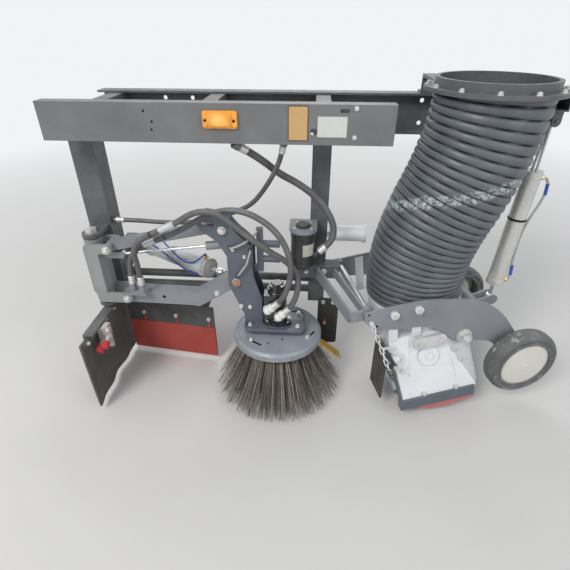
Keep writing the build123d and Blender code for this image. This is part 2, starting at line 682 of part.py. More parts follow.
def make_arm():
    root, bend, tip = raised(ARM_ROOT), raised(ARM_BEND), raised(ARM_TIP)
    outline = capsule(root, bend, ARM_TALL) + capsule(bend, tip, ARM_TALL)
    inner_tall = ARM_TALL - 2 * ARM_WALL
    cavity = capsule(root, bend, inner_tall) + capsule(bend, tip, inner_tall)
    near, far = ARM_OUT - ARM_WIDE / 2, ARM_OUT + ARM_WIDE / 2
    arm = slab(outline, near, far) - slab(cavity, near + ARM_WALL, far - ARM_WALL)
    for pivot in (root, tip):
        arm += slab(Pos(*pivot) * Circle(PIVOT_PIN_R + 8), near, far)
        arm -= slab(Pos(*pivot) * Circle(PIVOT_PIN_R), near - 1, far + 1)
    arm -= slab(Pos(-594, 432 - GEAR_HEIGHT) * Circle(7), far - ARM_WALL - 1, far + 1)
    eye = SWING_EYE
    reach = near - eye[1]
    tongue = Pos(0, -reach / 2) * Rectangle(30, reach) + Circle(15)
    top = eye[2] - SWING_EYE_THICK / 2 - OPEN_GAP
    arm += Pos(*at(eye[0], eye[1], top - 10)) * extrude(tongue, amount=10)
    arm += block((eye[0] - 5, eye[0] + 5), (eye[1] + 8, near), (top - 34, top - 10))
    arm += rod(at(eye[0], eye[1], top - 20), at(eye[0], eye[1], top - 10), 9)
    ledge = ARM_ROOT[1] + ARM_TALL / 2
    ends = (LOWER_HOSE[-1], UPPER_HOSE[-1])
    reach = MOTOR_HOSE_R + GLAND_WALL
    span = (min(end[0] for end in ends) - reach, max(end[0] for end in ends) + reach)
    outer = max(end[1] for end in ends) + reach
    arm += block(span, (far - 20, outer), (ledge, ledge + BULKHEAD))
    for route in (LOWER_HOSE, UPPER_HOSE):
        arm += gland(route[-1], route[-2], MOTOR_HOSE_R + 2, route[-1][2] - ledge - 1)
    return arm


def pivot_pin(pivot, near, far, radius):
    """Pin with a flat head at each end."""
    pin = rod(at(pivot[0], near, pivot[1]), at(pivot[0], far, pivot[1]), radius)
    pin += rod(at(pivot[0], near, pivot[1]), at(pivot[0], near + 6, pivot[1]), radius + 6)
    pin += rod(at(pivot[0], far - 6, pivot[1]), at(pivot[0], far, pivot[1]), radius + 6)
    return pin


def make_pins(pivots):
    near = CHEEK_NEAR - CHEEK - 7
    far = CHEEK_FAR + CHEEK + 7
    return Compound([pivot_pin(pivot, near, far, PIVOT_PIN_R) for pivot in pivots])


def make_link():
    outline = capsule(raised(LINK_ROOT), raised(LINK_TIP), LINK_TALL)
    link = slab(outline, ARM_OUT - LINK_WIDE / 2, ARM_OUT + LINK_WIDE / 2)
    for pivot in (LINK_ROOT, LINK_TIP):
        boss = Circle(PIVOT_PIN_R + 9)
        link += slab(Pos(*raised(pivot)) * boss, CHEEK_NEAR + 1, CHEEK_FAR - 1)
        link -= slab(Pos(*raised(pivot)) * Circle(PIVOT_PIN_R), CHEEK_NEAR - 1, CHEEK_FAR + 1)
    return link


# Broom head

def head_outline():
    """Side plate of the head, from the deck up to the gooseneck."""
    points = (
        (-262.0, 332.0), (-262.0, 372.0), (-318.0, 512.0), (-318.0, 640.0), (-352.0, 700.0),
        (-408.0, 742.0), (-424.0, 770.0), (-404.0, 792.0), (-362.0, 786.0), (-322.0, 782.0),
        (-278.0, 728.0), (-222.0, 676.0), (-222.0, 560.0), (-190.0, 450.0), (-190.0, 332.0),
    )
    line = Polyline(*[raised(point) for point in points], close=True)
    return make_face(line)


def make_head_plates():
    outline = head_outline()
    slot = capsule(raised((-398, 768)), raised((-362, 764)), 14)
    plates = slab(outline - slot, CHEEK_NEAR - CHEEK, CHEEK_NEAR)
    plates += slab(outline - slot, CHEEK_FAR, CHEEK_FAR + CHEEK)
    back = block((-240.0, -228.0), (CHEEK_NEAR, CHEEK_FAR), (345.0, 660.0))
    plates += back
    for pivot in (ARM_TIP, LINK_TIP):
        start = at(pivot[0], CHEEK_NEAR - CHEEK - 1, pivot[1])
        end = at(pivot[0], CHEEK_FAR + CHEEK + 1, pivot[1])
        plates -= rod(start, end, PIVOT_PIN_R + RUNNING_GAP)
    plates += pivot_pin(STEADY_HEAD, CHEEK_NEAR - CHEEK - 6, CHEEK_FAR + CHEEK + 6, STEADY_PIN_R)
    return plates


def make_deck():
    near, far = CHEEK_NEAR - CHEEK, 628.0
    middle = (near + far) / 2 - BRUSH_OUT
    plate = Pos(-10, -middle) * Rectangle(244, far - near)
    plate = fillet(plate.vertices(), 26)
    plate -= Circle(SHAFT_R + 8)
    deck = Pos(*at(BRUSH_X, BRUSH_OUT, DECK_BOTTOM)) * extrude(plate, amount=DECK_THICK)
    for step_x, step_out in ((-110, 30), (85, 30), (-110, -60), (85, -60)):
        low = at(BRUSH_X + step_x, BRUSH_OUT + step_out, GUARD_TOP)
        deck += rod(low, at(BRUSH_X + step_x, BRUSH_OUT + step_out, DECK_BOTTOM), 9)
    return deck


def make_guard():
    inner = GUARD_R - GUARD_WALL
    low = GUARD_TOP - GUARD_RIM - GEAR_HEIGHT
    top = GUARD_TOP - GEAR_HEIGHT
    profile = Polyline(
        (34, top), (GUARD_R - 8, top), (GUARD_R, top - 8), (GUARD_R, low), (inner, low),
        (inner, top - 10), (inner - 6, top - GUARD_WALL), (34, top - GUARD_WALL), close=True,
    )
    disc = revolve(Plane.XZ * make_face(profile), Axis.Z)
    return Pos(BRUSH_X, -BRUSH_OUT, 0) * disc


def make_motor():
    base = DECK_BOTTOM + DECK_THICK
    flange = capsule((-26, 0), (26, 0), 2 * MOTOR_R - 12)
    motor = Pos(*at(BRUSH_X, BRUSH_OUT, base)) * extrude(flange, amount=16)
    body_top = base + MOTOR_TALL
    motor += rod(at(BRUSH_X, BRUSH_OUT, base), at(BRUSH_X, BRUSH_OUT, body_top), MOTOR_R)
    motor += rod(at(BRUSH_X, BRUSH_OUT, body_top), at(BRUSH_X, BRUSH_OUT, body_top + 14), MOTOR_R - 7)
    port_face = BRUSH_OUT + MOTOR_R + 12
    across = (BRUSH_X - 48, BRUSH_X + 24)
    motor += block(across, (BRUSH_OUT, port_face), (base + 50, body_top - 12))
    for route in (LOWER_HOSE, UPPER_HOSE):
        motor += gland(route[0], route[1], PORT_R, PORT_REACH)
        elbow = at(*route[0]) + (at(*route[0]) - at(*route[1])).normalized() * PORT_REACH
        stem = Vector(elbow.X, -port_face + 5, elbow.Z)
        motor += rod(stem, (elbow.X, elbow.Y, elbow.Z), PORT_R)
        motor += Pos(elbow.X, elbow.Y, elbow.Z) * Sphere(PORT_R)
    return motor


def make_upright():
    """Upright beside the motor with two rubber buffers."""
    x, out = -196.0, ARM_OUT + 5
    post = block((-228.0, x + 12), (out - 12, out + 12), (560.0, 584.0))
    post += block((x - 12, x + 12), (out - 12, out + 12), (560.0, 740.0))
    for height in (612.0, 676.0):
        post += rod(at(x + 12, out, height), at(x + 76, out, height), 14)
    return post


# Brush

def make_core():
    low = at(BRUSH_X, BRUSH_OUT, CORE_TOP - CORE_THICK)
    core = Pos(*low) * extrude(Circle(CORE_R), amount=CORE_THICK)
    core += rod(low, at(BRUSH_X, BRUSH_OUT, DECK_BOTTOM + DECK_THICK - 0.5), SHAFT_R)
    return core


def make_bristles():
    root = CORE_TOP - CORE_THICK
    tufts = []
    for ring_r, count, splay in zip(TUFT_RADII, TUFT_COUNTS, TUFT_SPLAYS):
        slant = (root - TIP_HEIGHT) / math.cos(math.radians(splay))
        cone = Cone(TUFT_TOP_R, TUFT_TIP_R, slant - 6, align=(Align.CENTER, Align.CENTER, Align.MIN))
        for i in range(count):
            spin = Location((0, 0, 0), (0, 0, 360 / count * i))
            lean = Location((ring_r, 0, 0), (0, 180 - splay, 0))
            tufts.append(spin * lean * cone)
    place = Pos(*at(BRUSH_X, BRUSH_OUT, root))
    trim = place * Pos(0, 0, -root / 2) * Box(5 * GUARD_R, 5 * GUARD_R, root)
    return Compound([(place * tuft) & trim for tuft in tufts])


# Swing cylinder

def swing_frame():
    base, eye = at(*SWING_BASE), at(*SWING_EYE)
    run = eye - base
    yaw = math.degrees(math.atan2(run.Y, run.X))
    pitch = math.degrees(math.asin(run.Z / run.length))
    flat = Location(tuple(base), (0, 0, yaw))
    return flat, flat * Location((0, 0, 0), (0, -pitch, 0)), run.length


def make_swing_yoke():
    flat, place, length = swing_frame()
    yoke = Box(34, 36, 2 * SWING_LUG_GAP - 2)
    tall = SWING_LUG_GAP + SWING_LUG_THICK
    yoke += extrude(Circle(7.5), amount=tall, both=True)
    yoke += rod((0, -30, 0), (0, 30, 0), 8)
    return flat * yoke


def make_swing_barrel():
    flat, place, length = swing_frame()
    start, end = 46, length + SWING_BARREL_END
    barrel = rod((start, 0, 0), (end, 0, 0), SWING_BARREL_R, SWING_ROD_R + 12)
    barrel += rod((start, 0, 0), (start + 26, 0, 0), SWING_BARREL_R + 4)
    barrel += rod((end - 26, 0, 0), (end, 0, 0), SWING_BARREL_R + 4, SWING_ROD_R + 0.5)
    for side in (-1, 1):
        cheek = Pos(24, 0) * Rectangle(48, 32) + Circle(16)
        cheek -= Circle(8.5)
        barrel += extrude(Plane.XZ.offset(side * 24 - 5) * cheek, amount=10)
    return place * barrel


def make_swing_rod():
    flat, place, length = swing_frame()
    stem = rod((90, 0, 0), (length - 16.5, 0, 0), SWING_ROD_R)
    stem += rod((80, 0, 0), (98, 0, 0), SWING_ROD_R + 11)
    nut = extrude(RegularPolygon(SWING_NUT_R, 6), amount=SWING_NUT[1] - SWING_NUT[0])
    stem += Pos(length + SWING_NUT[0], 0, 0) * Rot(0, 90, 0) * nut
    eye = Pos(*at(*SWING_EYE)) * extrude(Circle(18), amount=SWING_EYE_THICK / 2, both=True)
    eye += Pos(*at(*SWING_EYE)) * Pos(0, 0, SWING_EYE_THICK / 2) * extrude(RegularPolygon(13, 6), amount=9)
    return place * stem + eye


# Steady cylinder

def steady_frame():
    head, knuckle = at(STEADY_HEAD[0], ARM_OUT, STEADY_HEAD[1]), at(STEADY_KNUCKLE[0], ARM_OUT, STEADY_KNUCKLE[1])
    run = knuckle - head
    plane = Plane(origin=head, x_dir=run, z_dir=Vector(0, -1, 0))
    return plane.location, run.length


def make_steady_barrel():
    place, length = steady_frame()
    barrel = rod((20, 0, 0), (20 + STEADY_BARREL, 0, 0), STEADY_BARREL_R, STEADY_ROD_R + 0.5)
    barrel += extrude(Circle(14), amount=10, both=True)
    barrel += rod((0, 0, 0), (24, 0, 0), 9)
    barrel -= extrude(Circle(STEADY_PIN_R + RUNNING_GAP), amount=20, both=True)
    barrel += rod((14, 0, 0), (30, 0, 0), STEADY_BARREL_R)
    return place * barrel


def make_steady_rod():
    place, length = steady_frame()
    stem = rod((40, 0, 0), (length - 8, 0, 0), STEADY_ROD_R)
    stem += Pos(length, 0, 0) * extrude(Circle(12), amount=7, both=True)
    stem -= Pos(length, 0, 0) * extrude(Circle(7.5), amount=20, both=True)
    return place * stem


# Nozzle unit

def side_plate_outline():
    """Trailing side plate: nose at the hinge pin, wide back, tail at the axle."""
    nose = Line((-18, -20), (-18, 18))
    top = Line((-18, 18), (60, 21))
    crown = Spline((60, 21), (161, 21), (226, 16), (323, -4), (424, -35), (506, -93), (562, -160), (600, -225), (648, -330), tangents=((1, 0), (0.3, -1)))
    tail = ThreePointArc((648, -330), (630, -386), (578, -368))
    hollow = Spline((578, -368), (540, -310), (505, -262), (470, -244), (430, -231), (404, -221.5), tangents=((-0.4, 1), (-1, 0.1)))
    pivot = ThreePointArc((404, -221.5), (382, -229), (352, -212.9))
    lower = Polyline((352, -212.9), (265, -130), (208, -100), (134, -92), (20, -72), (-18, -20))
    return make_face([nose, top, crown, tail, hollow, pivot, lower])


def make_side_plate(v_low):
    outline = side_plate_outline()
    outline -= Circle(GREASE_HOLE_R)
    for u, w, radius in ((*CHAIN_HOLE, 6), (*SPARE_HOLE, 5), (94, -13, 9), (188, -12, 9), (*WHEEL, AXLE_R)):
        outline -= Pos(u, w) * Circle(radius)
    outline -= Pos(*NOZZLE_PIVOT) * Circle(15)
    plate = in_unit(outline, v_low, v_low + PLATE)
    bore_start = v_low + PIN_COVER if v_low < 0 else v_low - 1
    plate -= in_unit(Circle(HINGE_PIN_R + RUNNING_GAP), bore_start, v_low + PLATE + 1)
    return UNIT * plate


def make_hangers():
    straps = []
    for side, v_face in ((1, 0.0), (-1, PLATE_GAP)):
        for u in (94, 188):
            outline = Pos(u, (HOPPER_TOP + 10) / 2) * Rectangle(36, 10 - HOPPER_TOP)
            low, high = sorted((v_face, v_face + side * 8))
            strap = in_unit(outline, low, high)
            foot = Pos(u, HOPPER_TOP + 4) * Rectangle(36, 8)
            low, high = sorted((v_face, v_face + side * 24))
            strap += in_unit(foot, low, high)
            straps.append(strap)
    bolts = []
    for u in (94, 188):
        bolts.append(rod((u, -PLATE - 14, -13 + (u == 188)), (u, 0, -13 + (u == 188)), 9))
        bolts.append(rod((u, -PLATE - 14, -13 + (u == 188)), (u, -PLATE, -13 + (u == 188)), 16))
    u, w = CHAIN_HOLE
    shackle = rod((u, -PLATE, w), (u, 0, w), 6) + rod((u, CHAIN_V[0] - 12, w), (u, 0, w), CHAIN_PIN_R)
    bolts.append(shackle + rod((u, -PLATE - 4, w), (u, -PLATE, w), 9))
    return UNIT * Compound(straps + bolts)


def hopper_section(w, inset, spread):
    """Plan of the hopper at height w; spread runs from 0 on top to 1 below."""
    front = HOPPER_TOP_U[0] + (HOPPER_LOW_U[0] - HOPPER_TOP_U[0]) * spread + inset
    outer = HOPPER_TOP_V + (SKIRT_V - HOPPER_TOP_V) * spread + inset
    rear_outer = 280 + 130 * spread - inset * 0.6
    rear = HOPPER_TOP_U[1] + (HOPPER_LOW_U[1] - HOPPER_TOP_U[1]) * spread - inset
    corner = 120 - 175 * spread + inset * 0.6
    inner = PLATE_GAP - HOPPER_TOP_V - inset
    nose_v = HOPPER_NOSE_V[0] + (HOPPER_NOSE_V[1] - HOPPER_NOSE_V[0]) * spread - inset * 0.6
    nose_u = HOPPER_NOSE_U[0] + (HOPPER_NOSE_U[1] - HOPPER_NOSE_U[0]) * spread
    cut = (front + nose_u - inset * 0.4, inner)
    points = ((front, outer), (rear_outer, outer), (rear, corner), (rear, inner), cut, (front, nose_v))
    return Plane.XY.offset(w) * make_face(Polyline(*points, close=True))


def hopper_form():
    """Outer form of the hopper, with no hollow."""
    outer = loft([hopper_section(HOPPER_SKIRT, 0, 1), hopper_section(HOPPER_TOP, 0, 0)], ruled=True)
    return outer + extrude(hopper_section(HOPPER_SKIRT, 0, 1), amount=HOPPER_BOTTOM - HOPPER_SKIRT)


def make_hopper():
    outer = hopper_form()
    wall = HOPPER_WALL
    inner = loft([hopper_section(HOPPER_SKIRT, wall, 1), hopper_section(HOPPER_TOP - wall, wall, 0)], ruled=True)
    inner += extrude(hopper_section(HOPPER_SKIRT, wall, 1), amount=HOPPER_BOTTOM - HOPPER_SKIRT - 1)
    hopper = outer
    for v_low, v_high in ((1, 70), (PLATE_GAP - 70, PLATE_GAP - 1)):
        hopper += in_unit(Pos(*NOZZLE_PIVOT) * Circle(27), v_low, v_high)
    spigot = Pos(HOSE_U, HOSE_V, HOPPER_TOP) * extrude(Circle(HOSE_R - HOSE_WALL + 6), amount=COLLAR_TOP - HOPPER_TOP)
    hopper += spigot
    hopper += Pos(HOSE_U, HOSE_V, COLLAR_TOP - 10) * extrude(Circle(HOSE_R), amount=10)
    hopper -= inner
    hopper -= Pos(HOSE_U, HOSE_V, HOPPER_TOP - 20) * extrude(Circle(HOSE_R - HOSE_WALL - 2), amount=200)
    hopper -= Pos(90, sum(FLAP_SPAN) / 2, -320) * Box(60, FLAP_SPAN[1] - FLAP_SPAN[0] - 16, 150)
    for v_low in (FLAP_SPAN[0] + 14, FLAP_SPAN[1] - 24):
        lug = capsule(FLAP_PIN, (90, FLAP_PIN[1]), 26) - Pos(*FLAP_PIN) * Circle(FLAP_PIN_R + RUNNING_GAP)
        hopper += in_unit(lug, v_low, v_low + 10) - inner
    return UNIT * hopper


def make_pivot_bolts():
    u, w = NOZZLE_PIVOT
    bolts = []
    for side, face in ((-1, -PLATE), (1, PLATE_GAP + PLATE)):
        start = (u, face - side * PLATE, w)
        bolt = rod(start, (u, face + side * 16, w), 15)
        bolt += rod((u, face, w), (u, face + side * 6, w), 32)
        bolt += rod((u, face + side * 6, w), (u, face + side * 12, w), 27)
        bolt += rod((u, face + side * 12, w), (u, face + side * 28, w), 22)
        bolts.append(bolt)
    return UNIT * Compound(bolts)


def make_link_plate():
    plate = in_unit(capsule((196, -176), (282, -178), 42), -32, -22)
    for u in (196, 282):
        plate += rod((u, -42, -177), (u, 8, -177), 10)
        plate += rod((u, -40, -177), (u, -32, -177), 15)
    plate += rod((232, -46, -250), (232, 0, -250), 38)
    plate += rod((232, -56, -250), (232, -46, -250), 26)
    return UNIT * (plate - hopper_form())


def make_skirt_bar():
    bar = Pos(250, SKIRT_V - BAR_THICK / 2, (HOPPER_SKIRT + BAR_BOTTOM) / 2) * Box(306, BAR_THICK, HOPPER_SKIRT - BAR_BOTTOM)
    return UNIT * bar


def make_skirt_rubber():
    low, high = RUBBER_BOTTOM, HOPPER_BOTTOM - 0.3
    outer = Pos(292, SKIRT_V + 5, (low + high) / 2) * Box(240, 10, high - low)
    return UNIT * outer


def make_cross_shaft():
    u, w = CROSS_SHAFT
    shaft = in_unit(Pos(u, w) * Circle(CROSS_SHAFT_R), 0, PLATE_GAP)
    lever = capsule(CROSS_SHAFT, LIFT_EYE, 2 * CROSS_SHAFT_R)
    for v_mid in (LIFT_V - 21, LIFT_V + 21):
        shaft += in_unit(lever, v_mid - 5, v_mid + 5)
    shaft += in_unit(Pos(*LIFT_EYE) * Circle(LEVER_PIN_R), LIFT_V - 26, LIFT_V + 26)
    return UNIT * shaft


def make_axle(side):
    u, w = WHEEL
    face = -PLATE if side < 0 else PLATE_GAP + PLATE
    reach = WHEEL_GAP + WHEEL_WIDE - 14
    axle = rod((u, face - side * PLATE, w), (u, face + side * reach, w), AXLE_R)
    axle += rod((u, face, w), (u, face + side * (WHEEL_GAP - 2), w), AXLE_R + 12)
    return axle


def wheel_profile_solid(points):
    return revolve(make_face(Polyline(*points, close=True)), Axis.X)


def make_tyre():
    """Tyre about the X axis, rounded at the shoulders."""
    half = WHEEL_WIDE / 2
    inner = WHEEL_CAP_R + 1
    outline = Polyline((-half, inner), (half, inner), (half, WHEEL_R - 22))
    left = Line((-half, WHEEL_R - 22), (-half, inner))
    tread = Line((half - 20, WHEEL_R), (-half + 20, WHEEL_R))
    right_round = ThreePointArc((half, WHEEL_R - 22), (half - 6.5, WHEEL_R - 7), (half - 20, WHEEL_R))
    left_round = ThreePointArc((-half + 20, WHEEL_R), (-half + 6.5, WHEEL_R - 7), (-half, WHEEL_R - 22))
    return revolve(make_face([outline, right_round, tread, left_round, left]), Axis.X)


def make_hub(outward):
    """Hub about the X axis with its cap on the outward side."""
    half = WHEEL_WIDE / 2
    face = half - 4
    points = (
        (-half + 6, AXLE_R + RUNNING_GAP), (half - 12, AXLE_R + RUNNING_GAP), (half - 12, 0.0), (face + 5, 0.0),
        (face, WHEEL_CAP_R - 10), (face - 4, WHEEL_CAP_R + 1), (face - 12, WHEEL_CAP_R + 1),
        (face - 14, WHEEL_CAP_R - 8), (-half + 6, 40.0),
    )
    hub = wheel_profile_solid([(outward * x, r) for x, r in points])
    return hub


def place_wheel(solid, side):
    u, w = WHEEL
    face = -PLATE if side < 0 else PLATE_GAP + PLATE
    middle = face + side * (WHEEL_GAP + WHEEL_WIDE / 2)
    return UNIT * Location((u, middle, w), (0, 0, 90)) * solid


def make_nozzle_flap():
    """Front flap of the nozzle on its pin, hanging plumb, with its lever."""
    plumb = Location((FLAP_PIN[0], 0, FLAP_PIN[1])) * Location((0, 0, 0), (0, UNIT_RAISE, 0))
    middle = sum(FLAP_SPAN) / 2
    span = FLAP_SPAN[1] - FLAP_SPAN[0]
    flap = Pos(0, middle, -FLAP_DROP / 2 - 14) * Box(8, span, FLAP_DROP)
    flap += Pos(0, middle, -11) * Box(14, span - 64, 26)
    flap += rod((0, SKIRT_V - 16, 0), (0, FLAP_SPAN[1] + 6, 0), FLAP_PIN_R)
    lever = capsule((0, 0), FLAP_LEVER, 20)
    flap += in_unit(lever, SKIRT_V - 14, SKIRT_V - 6)
    u, w = FLAP_LEVER
    flap += rod((u, CHAIN_V[1] - 10, w), (u, SKIRT_V - 6, w), CHAIN_PIN_R)
    return UNIT * plumb * flap


def chain_link(pitch):
    """Stadium link, long along Z and flat in the XZ plane."""
    wide = CHAIN_SLOT + 2 * CHAIN_WIRE
    link = SlotOverall(pitch + 2 * CHAIN_WIRE + 0.4, wide) - SlotOverall(pitch + 0.4, CHAIN_SLOT)
    return Rot(0, 90, 0) * extrude(link, amount=CHAIN_WIRE / 2 - 0.1, both=True)


def make_chain():
    """Chain from the outer plate's nose down to the flap's lever."""
    start = Vector(CHAIN_HOLE[0], CHAIN_V[0], CHAIN_HOLE[1])
    plumb = Location((FLAP_PIN[0], 0, FLAP_PIN[1])) * Location((0, 0, 0), (0, UNIT_RAISE, 0))
    end = (plumb * Pos(FLAP_LEVER[0], CHAIN_V[1], FLAP_LEVER[1])).position
    around = (start - end).normalized() * (CHAIN_PIN_R + CHAIN_SLACK)
    start, end = start + around, end - around
    pitch = (end - start).length / CHAIN_LINKS
    hang = Plane(origin=start, x_dir=(0, 1, 0), z_dir=start - end).location
    link = chain_link(pitch)
    links = []
    for i in range(CHAIN_LINKS):
        links.append(hang * Location((0, 0, -pitch * (i + 0.5)), (0, 0, 90 * (i % 2))) * link)
    return UNIT * Compound(links)


# Lift cylinder

def lift_frame():
    top = (HEADING * Pos(LIFT_TOP[0], LIFT_V, LIFT_TOP[1] - HINGE[2])).position
    eye = UNIT_POINT(LIFT_EYE[0], LIFT_V, LIFT_EYE[1])
    run = eye - top
    across = (UNIT * Pos(0, 1, 0)).position - (UNIT * Pos(0, 0, 0)).position
    plane = Plane(origin=top, x_dir=run, z_dir=across)
    return plane.location, run.length


def make_lift_barrel():
    place, length = lift_frame()
    end = length - LIFT_GLAND
    start = end - LIFT_BARREL
    barrel = rod((start, 0, 0), (end, 0, 0), LIFT_BARREL_R, LIFT_PISTON_R + 0.5)
    barrel += rod((start, 0, 0), (start + 18, 0, 0), LIFT_BARREL_R + 2)
    barrel += rod((end - 18, 0, 0), (end, 0, 0), LIFT_BARREL_R + 2, LIFT_ROD_R + RUNNING_GAP)
    for side in (-1, 1):
        barrel += rod((14, 0, side * 4), (start, 0, side * 11), 5)
    barrel += extrude(Circle(16), amount=8, both=True)
    barrel -= extrude(Circle(LIFT_PIN_R + RUNNING_GAP), amount=20, both=True)
    return place * barrel


def make_lift_rod():
    place, length = lift_frame()
    start = length - LIFT_GLAND - LIFT_BARREL
    stem = rod((start + 60, 0, 0), (length - 14, 0, 0), LIFT_ROD_R)
    stem += rod((start + 50, 0, 0), (start + 66, 0, 0), LIFT_PISTON_R)
    stem += Pos(length, 0, 0) * extrude(Circle(18), amount=12, both=True)
    stem -= Pos(length, 0, 0) * extrude(Circle(LEVER_PIN_R + LEVER_PIN_GAP), amount=30, both=True)
    return place * stem


# Suction hose

def make_hose():
    start = UNIT_POINT(HOSE_U, HOSE_V, COLLAR_TOP)
    above = UNIT_POINT(HOSE_U, HOSE_V, COLLAR_TOP + HOSE_RISE)
    top = at(*HOSE_TOP)
    below = top - Vector(0, 0, HOSE_DROP)
    ring = Circle(HOSE_R) - Circle(HOSE_R - HOSE_WALL)
    base = Plane(origin=start, z_dir=above - start)
    return sweep(base * ring, path=eased_route([start, above, below, top]))


nodes["inner_rail"] = make_rail()
nodes["side_beam"] = make_beam()
nodes["cross_arms"] = make_cross_arms()
nodes["marker_lamp"] = make_lamp()
nodes["front_post"] = make_front_post()
nodes["swing_pin"] = make_swing_pin()
nodes["hanging_post"] = make_hanging_post()
nodes["stretcher_tubes"] = make_stretchers()
nodes["filter"] = make_filter()
nodes["air_cylinder"] = make_air_cylinder()
nodes["drawbar"] = make_drawbar()
nodes["hinge_pin"] = make_hinge_pin()
nodes["deflector_plate"] = make_deflector()
nodes["deflector_rubber"] = deflector_panel(DEFLECTOR_BOTTOM, DEFLECTOR_JOIN - 0.3, APRON_THICK, 0)
nodes["flap_bracket"] = make_flap_bracket()
nodes["front_flap"] = make_flap()
nodes["couplings"] = make_couplings()
nodes["guard_plate"] = make_guard_plate()
nodes["hose_flange"] = make_hose_flange()
nodes["lift_hanger"] = make_lift_hanger()
nodes["swing_knuckle"] = make_knuckle()
nodes["broom_arm"] = make_arm()
nodes["arm_pins"] = make_pins((ARM_ROOT, ARM_TIP))
nodes["broom_link"] = make_link()
nodes["link_pins"] = make_pins((LINK_ROOT, LINK_TIP))
nodes["head_plates"] = make_head_plates()
nodes["head_deck"] = make_deck()
nodes["guard_disc"] = make_guard()
nodes["broom_motor"] = make_motor()
nodes["head_upright"] = make_upright()
nodes["brush_core"] = make_core()
nodes["brush_bristles"] = make_bristles()
nodes["swing_yoke"] = make_swing_yoke()
nodes["swing_barrel"] = make_swing_barrel()
nodes["swing_rod"] = make_swing_rod()
nodes["steady_barrel"] = make_steady_barrel()
nodes["steady_rod"] = make_steady_rod()
nodes["outer_side_plate"] = make_side_plate(-PLATE)
nodes["inner_side_plate"] = make_side_plate(PLATE_GAP)
nodes["nozzle_hangers"] = make_hangers()
nodes["nozzle_hopper"] = make_hopper()
nodes["nozzle_pivot_bolts"] = make_pivot_bolts()
nodes["nozzle_link_plate"] = make_link_plate()
nodes["skirt_bar"] = make_skirt_bar()
nodes["skirt_rubber"] = make_skirt_rubber()
nodes["cross_shaft"] = make_cross_shaft()
nodes["wheel_axles"] = UNIT * Compound([make_axle(-1), make_axle(1)])
nodes["outer_tyre"] = place_wheel(make_tyre(), -1)
nodes["outer_hub"] = place_wheel(make_hub(-1), -1)
nodes["inner_tyre"] = place_wheel(make_tyre(), 1)
nodes["inner_hub"] = place_wheel(make_hub(1), 1)
nodes["nozzle_flap"] = make_nozzle_flap()
nodes["flap_chain"] = make_chain()
nodes["lift_barrel"] = make_lift_barrel()
nodes["lift_rod"] = make_lift_rod()
nodes["suction_hose"] = make_hose()
nodes["motor_hose_lower"] = make_line(LOWER_HOSE, MOTOR_HOSE_R)
nodes["motor_hose_upper"] = make_line(UPPER_HOSE, MOTOR_HOSE_R)
nodes["filter_hose"] = make_line(FILTER_HOSE, FILTER_HOSE_R)
nodes["feed_hose"] = make_line(FEED_HOSE, FEED_HOSE_R)

os.makedirs("parts", exist_ok=True)
for name, solid in nodes.items():
    export_step(solid, f"parts/{name}.step")
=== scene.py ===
import math
import random

import bmesh
import bpy
from mathutils import Matrix, Vector


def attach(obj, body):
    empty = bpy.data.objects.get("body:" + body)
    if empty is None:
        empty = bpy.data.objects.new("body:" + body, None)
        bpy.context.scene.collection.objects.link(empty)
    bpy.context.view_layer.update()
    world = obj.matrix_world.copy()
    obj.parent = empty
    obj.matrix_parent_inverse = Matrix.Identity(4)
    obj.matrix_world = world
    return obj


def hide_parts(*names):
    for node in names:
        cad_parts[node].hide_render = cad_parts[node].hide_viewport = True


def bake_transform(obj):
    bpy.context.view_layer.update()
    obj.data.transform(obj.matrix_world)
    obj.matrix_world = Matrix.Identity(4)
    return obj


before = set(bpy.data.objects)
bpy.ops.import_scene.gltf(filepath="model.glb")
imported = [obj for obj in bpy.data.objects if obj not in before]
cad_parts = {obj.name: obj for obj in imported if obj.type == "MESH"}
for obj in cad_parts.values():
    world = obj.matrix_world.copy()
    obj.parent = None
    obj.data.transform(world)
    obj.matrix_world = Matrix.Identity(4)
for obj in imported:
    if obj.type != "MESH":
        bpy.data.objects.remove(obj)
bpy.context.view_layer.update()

# Looks of a street sweeper's side sweep gear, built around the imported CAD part.
# Places are given as in the part's source: X, the distance out from the chassis
# face and the height above the road, in millimetres.

ROAD = 1060.0
MM = 0.001
HEAD_X, HEAD_OUT = -130.0, 562.0
FILTER_X, FILTER_OUT = -36.0, 452.0
HOSE_X, HOSE_OUT = 572.0, 425.0
BEAM_FACE = 580.0
PIN_FACE = 585.0
DISC_TOP = 302.0
DECK_TOP = 332.0
OUT = Vector((0.0, -1.0, 0.0))
UP = Vector((0.0, 0.0, 1.0))
REARWARD = Vector((1.0, 0.0, 0.0))
SCENE = bpy.context.scene
DICE = random.Random(20)


def placed(name, data):
    """New object in the scene."""
    made = bpy.data.objects.new(name, data)
    SCENE.collection.objects.link(made)
    return made


def at(x, out, height):
    return Vector((x, -out, height - ROAD)) * MM


UNIT = (
    Matrix.Translation(at(218.0, 692.0, 474.0))
    @ Matrix.Rotation(math.radians(14.0), 4, "Z")
    @ Matrix.Rotation(math.radians(-7.6), 4, "Y")
)


def unit(u, v, w):
    """Point of the nozzle unit's frame: along its plates, inward and up."""
    return UNIT @ (Vector((u, v, w)) * MM)


def unit_way(u, v, w):
    return (UNIT.to_3x3() @ Vector((u, v, w))).normalized()


UNIT_OUT = unit_way(0.0, -1.0, 0.0)


# Camera at the photograph's place

camera_data = bpy.data.cameras.new("camera")
camera_data.sensor_width = 36.0
camera_data.lens = 27.03
camera = placed("camera", camera_data)
camera.location = (0.0, -1.980, 0.340)
camera.rotation_euler = (math.radians(58.0), 0.0, math.radians(4.0))
SCENE.camera = camera


# Material kit

FINE_RELIEF, WIDE_RELIEF = 0.0006, 0.003
COAT_ROUGHNESS = 0.12


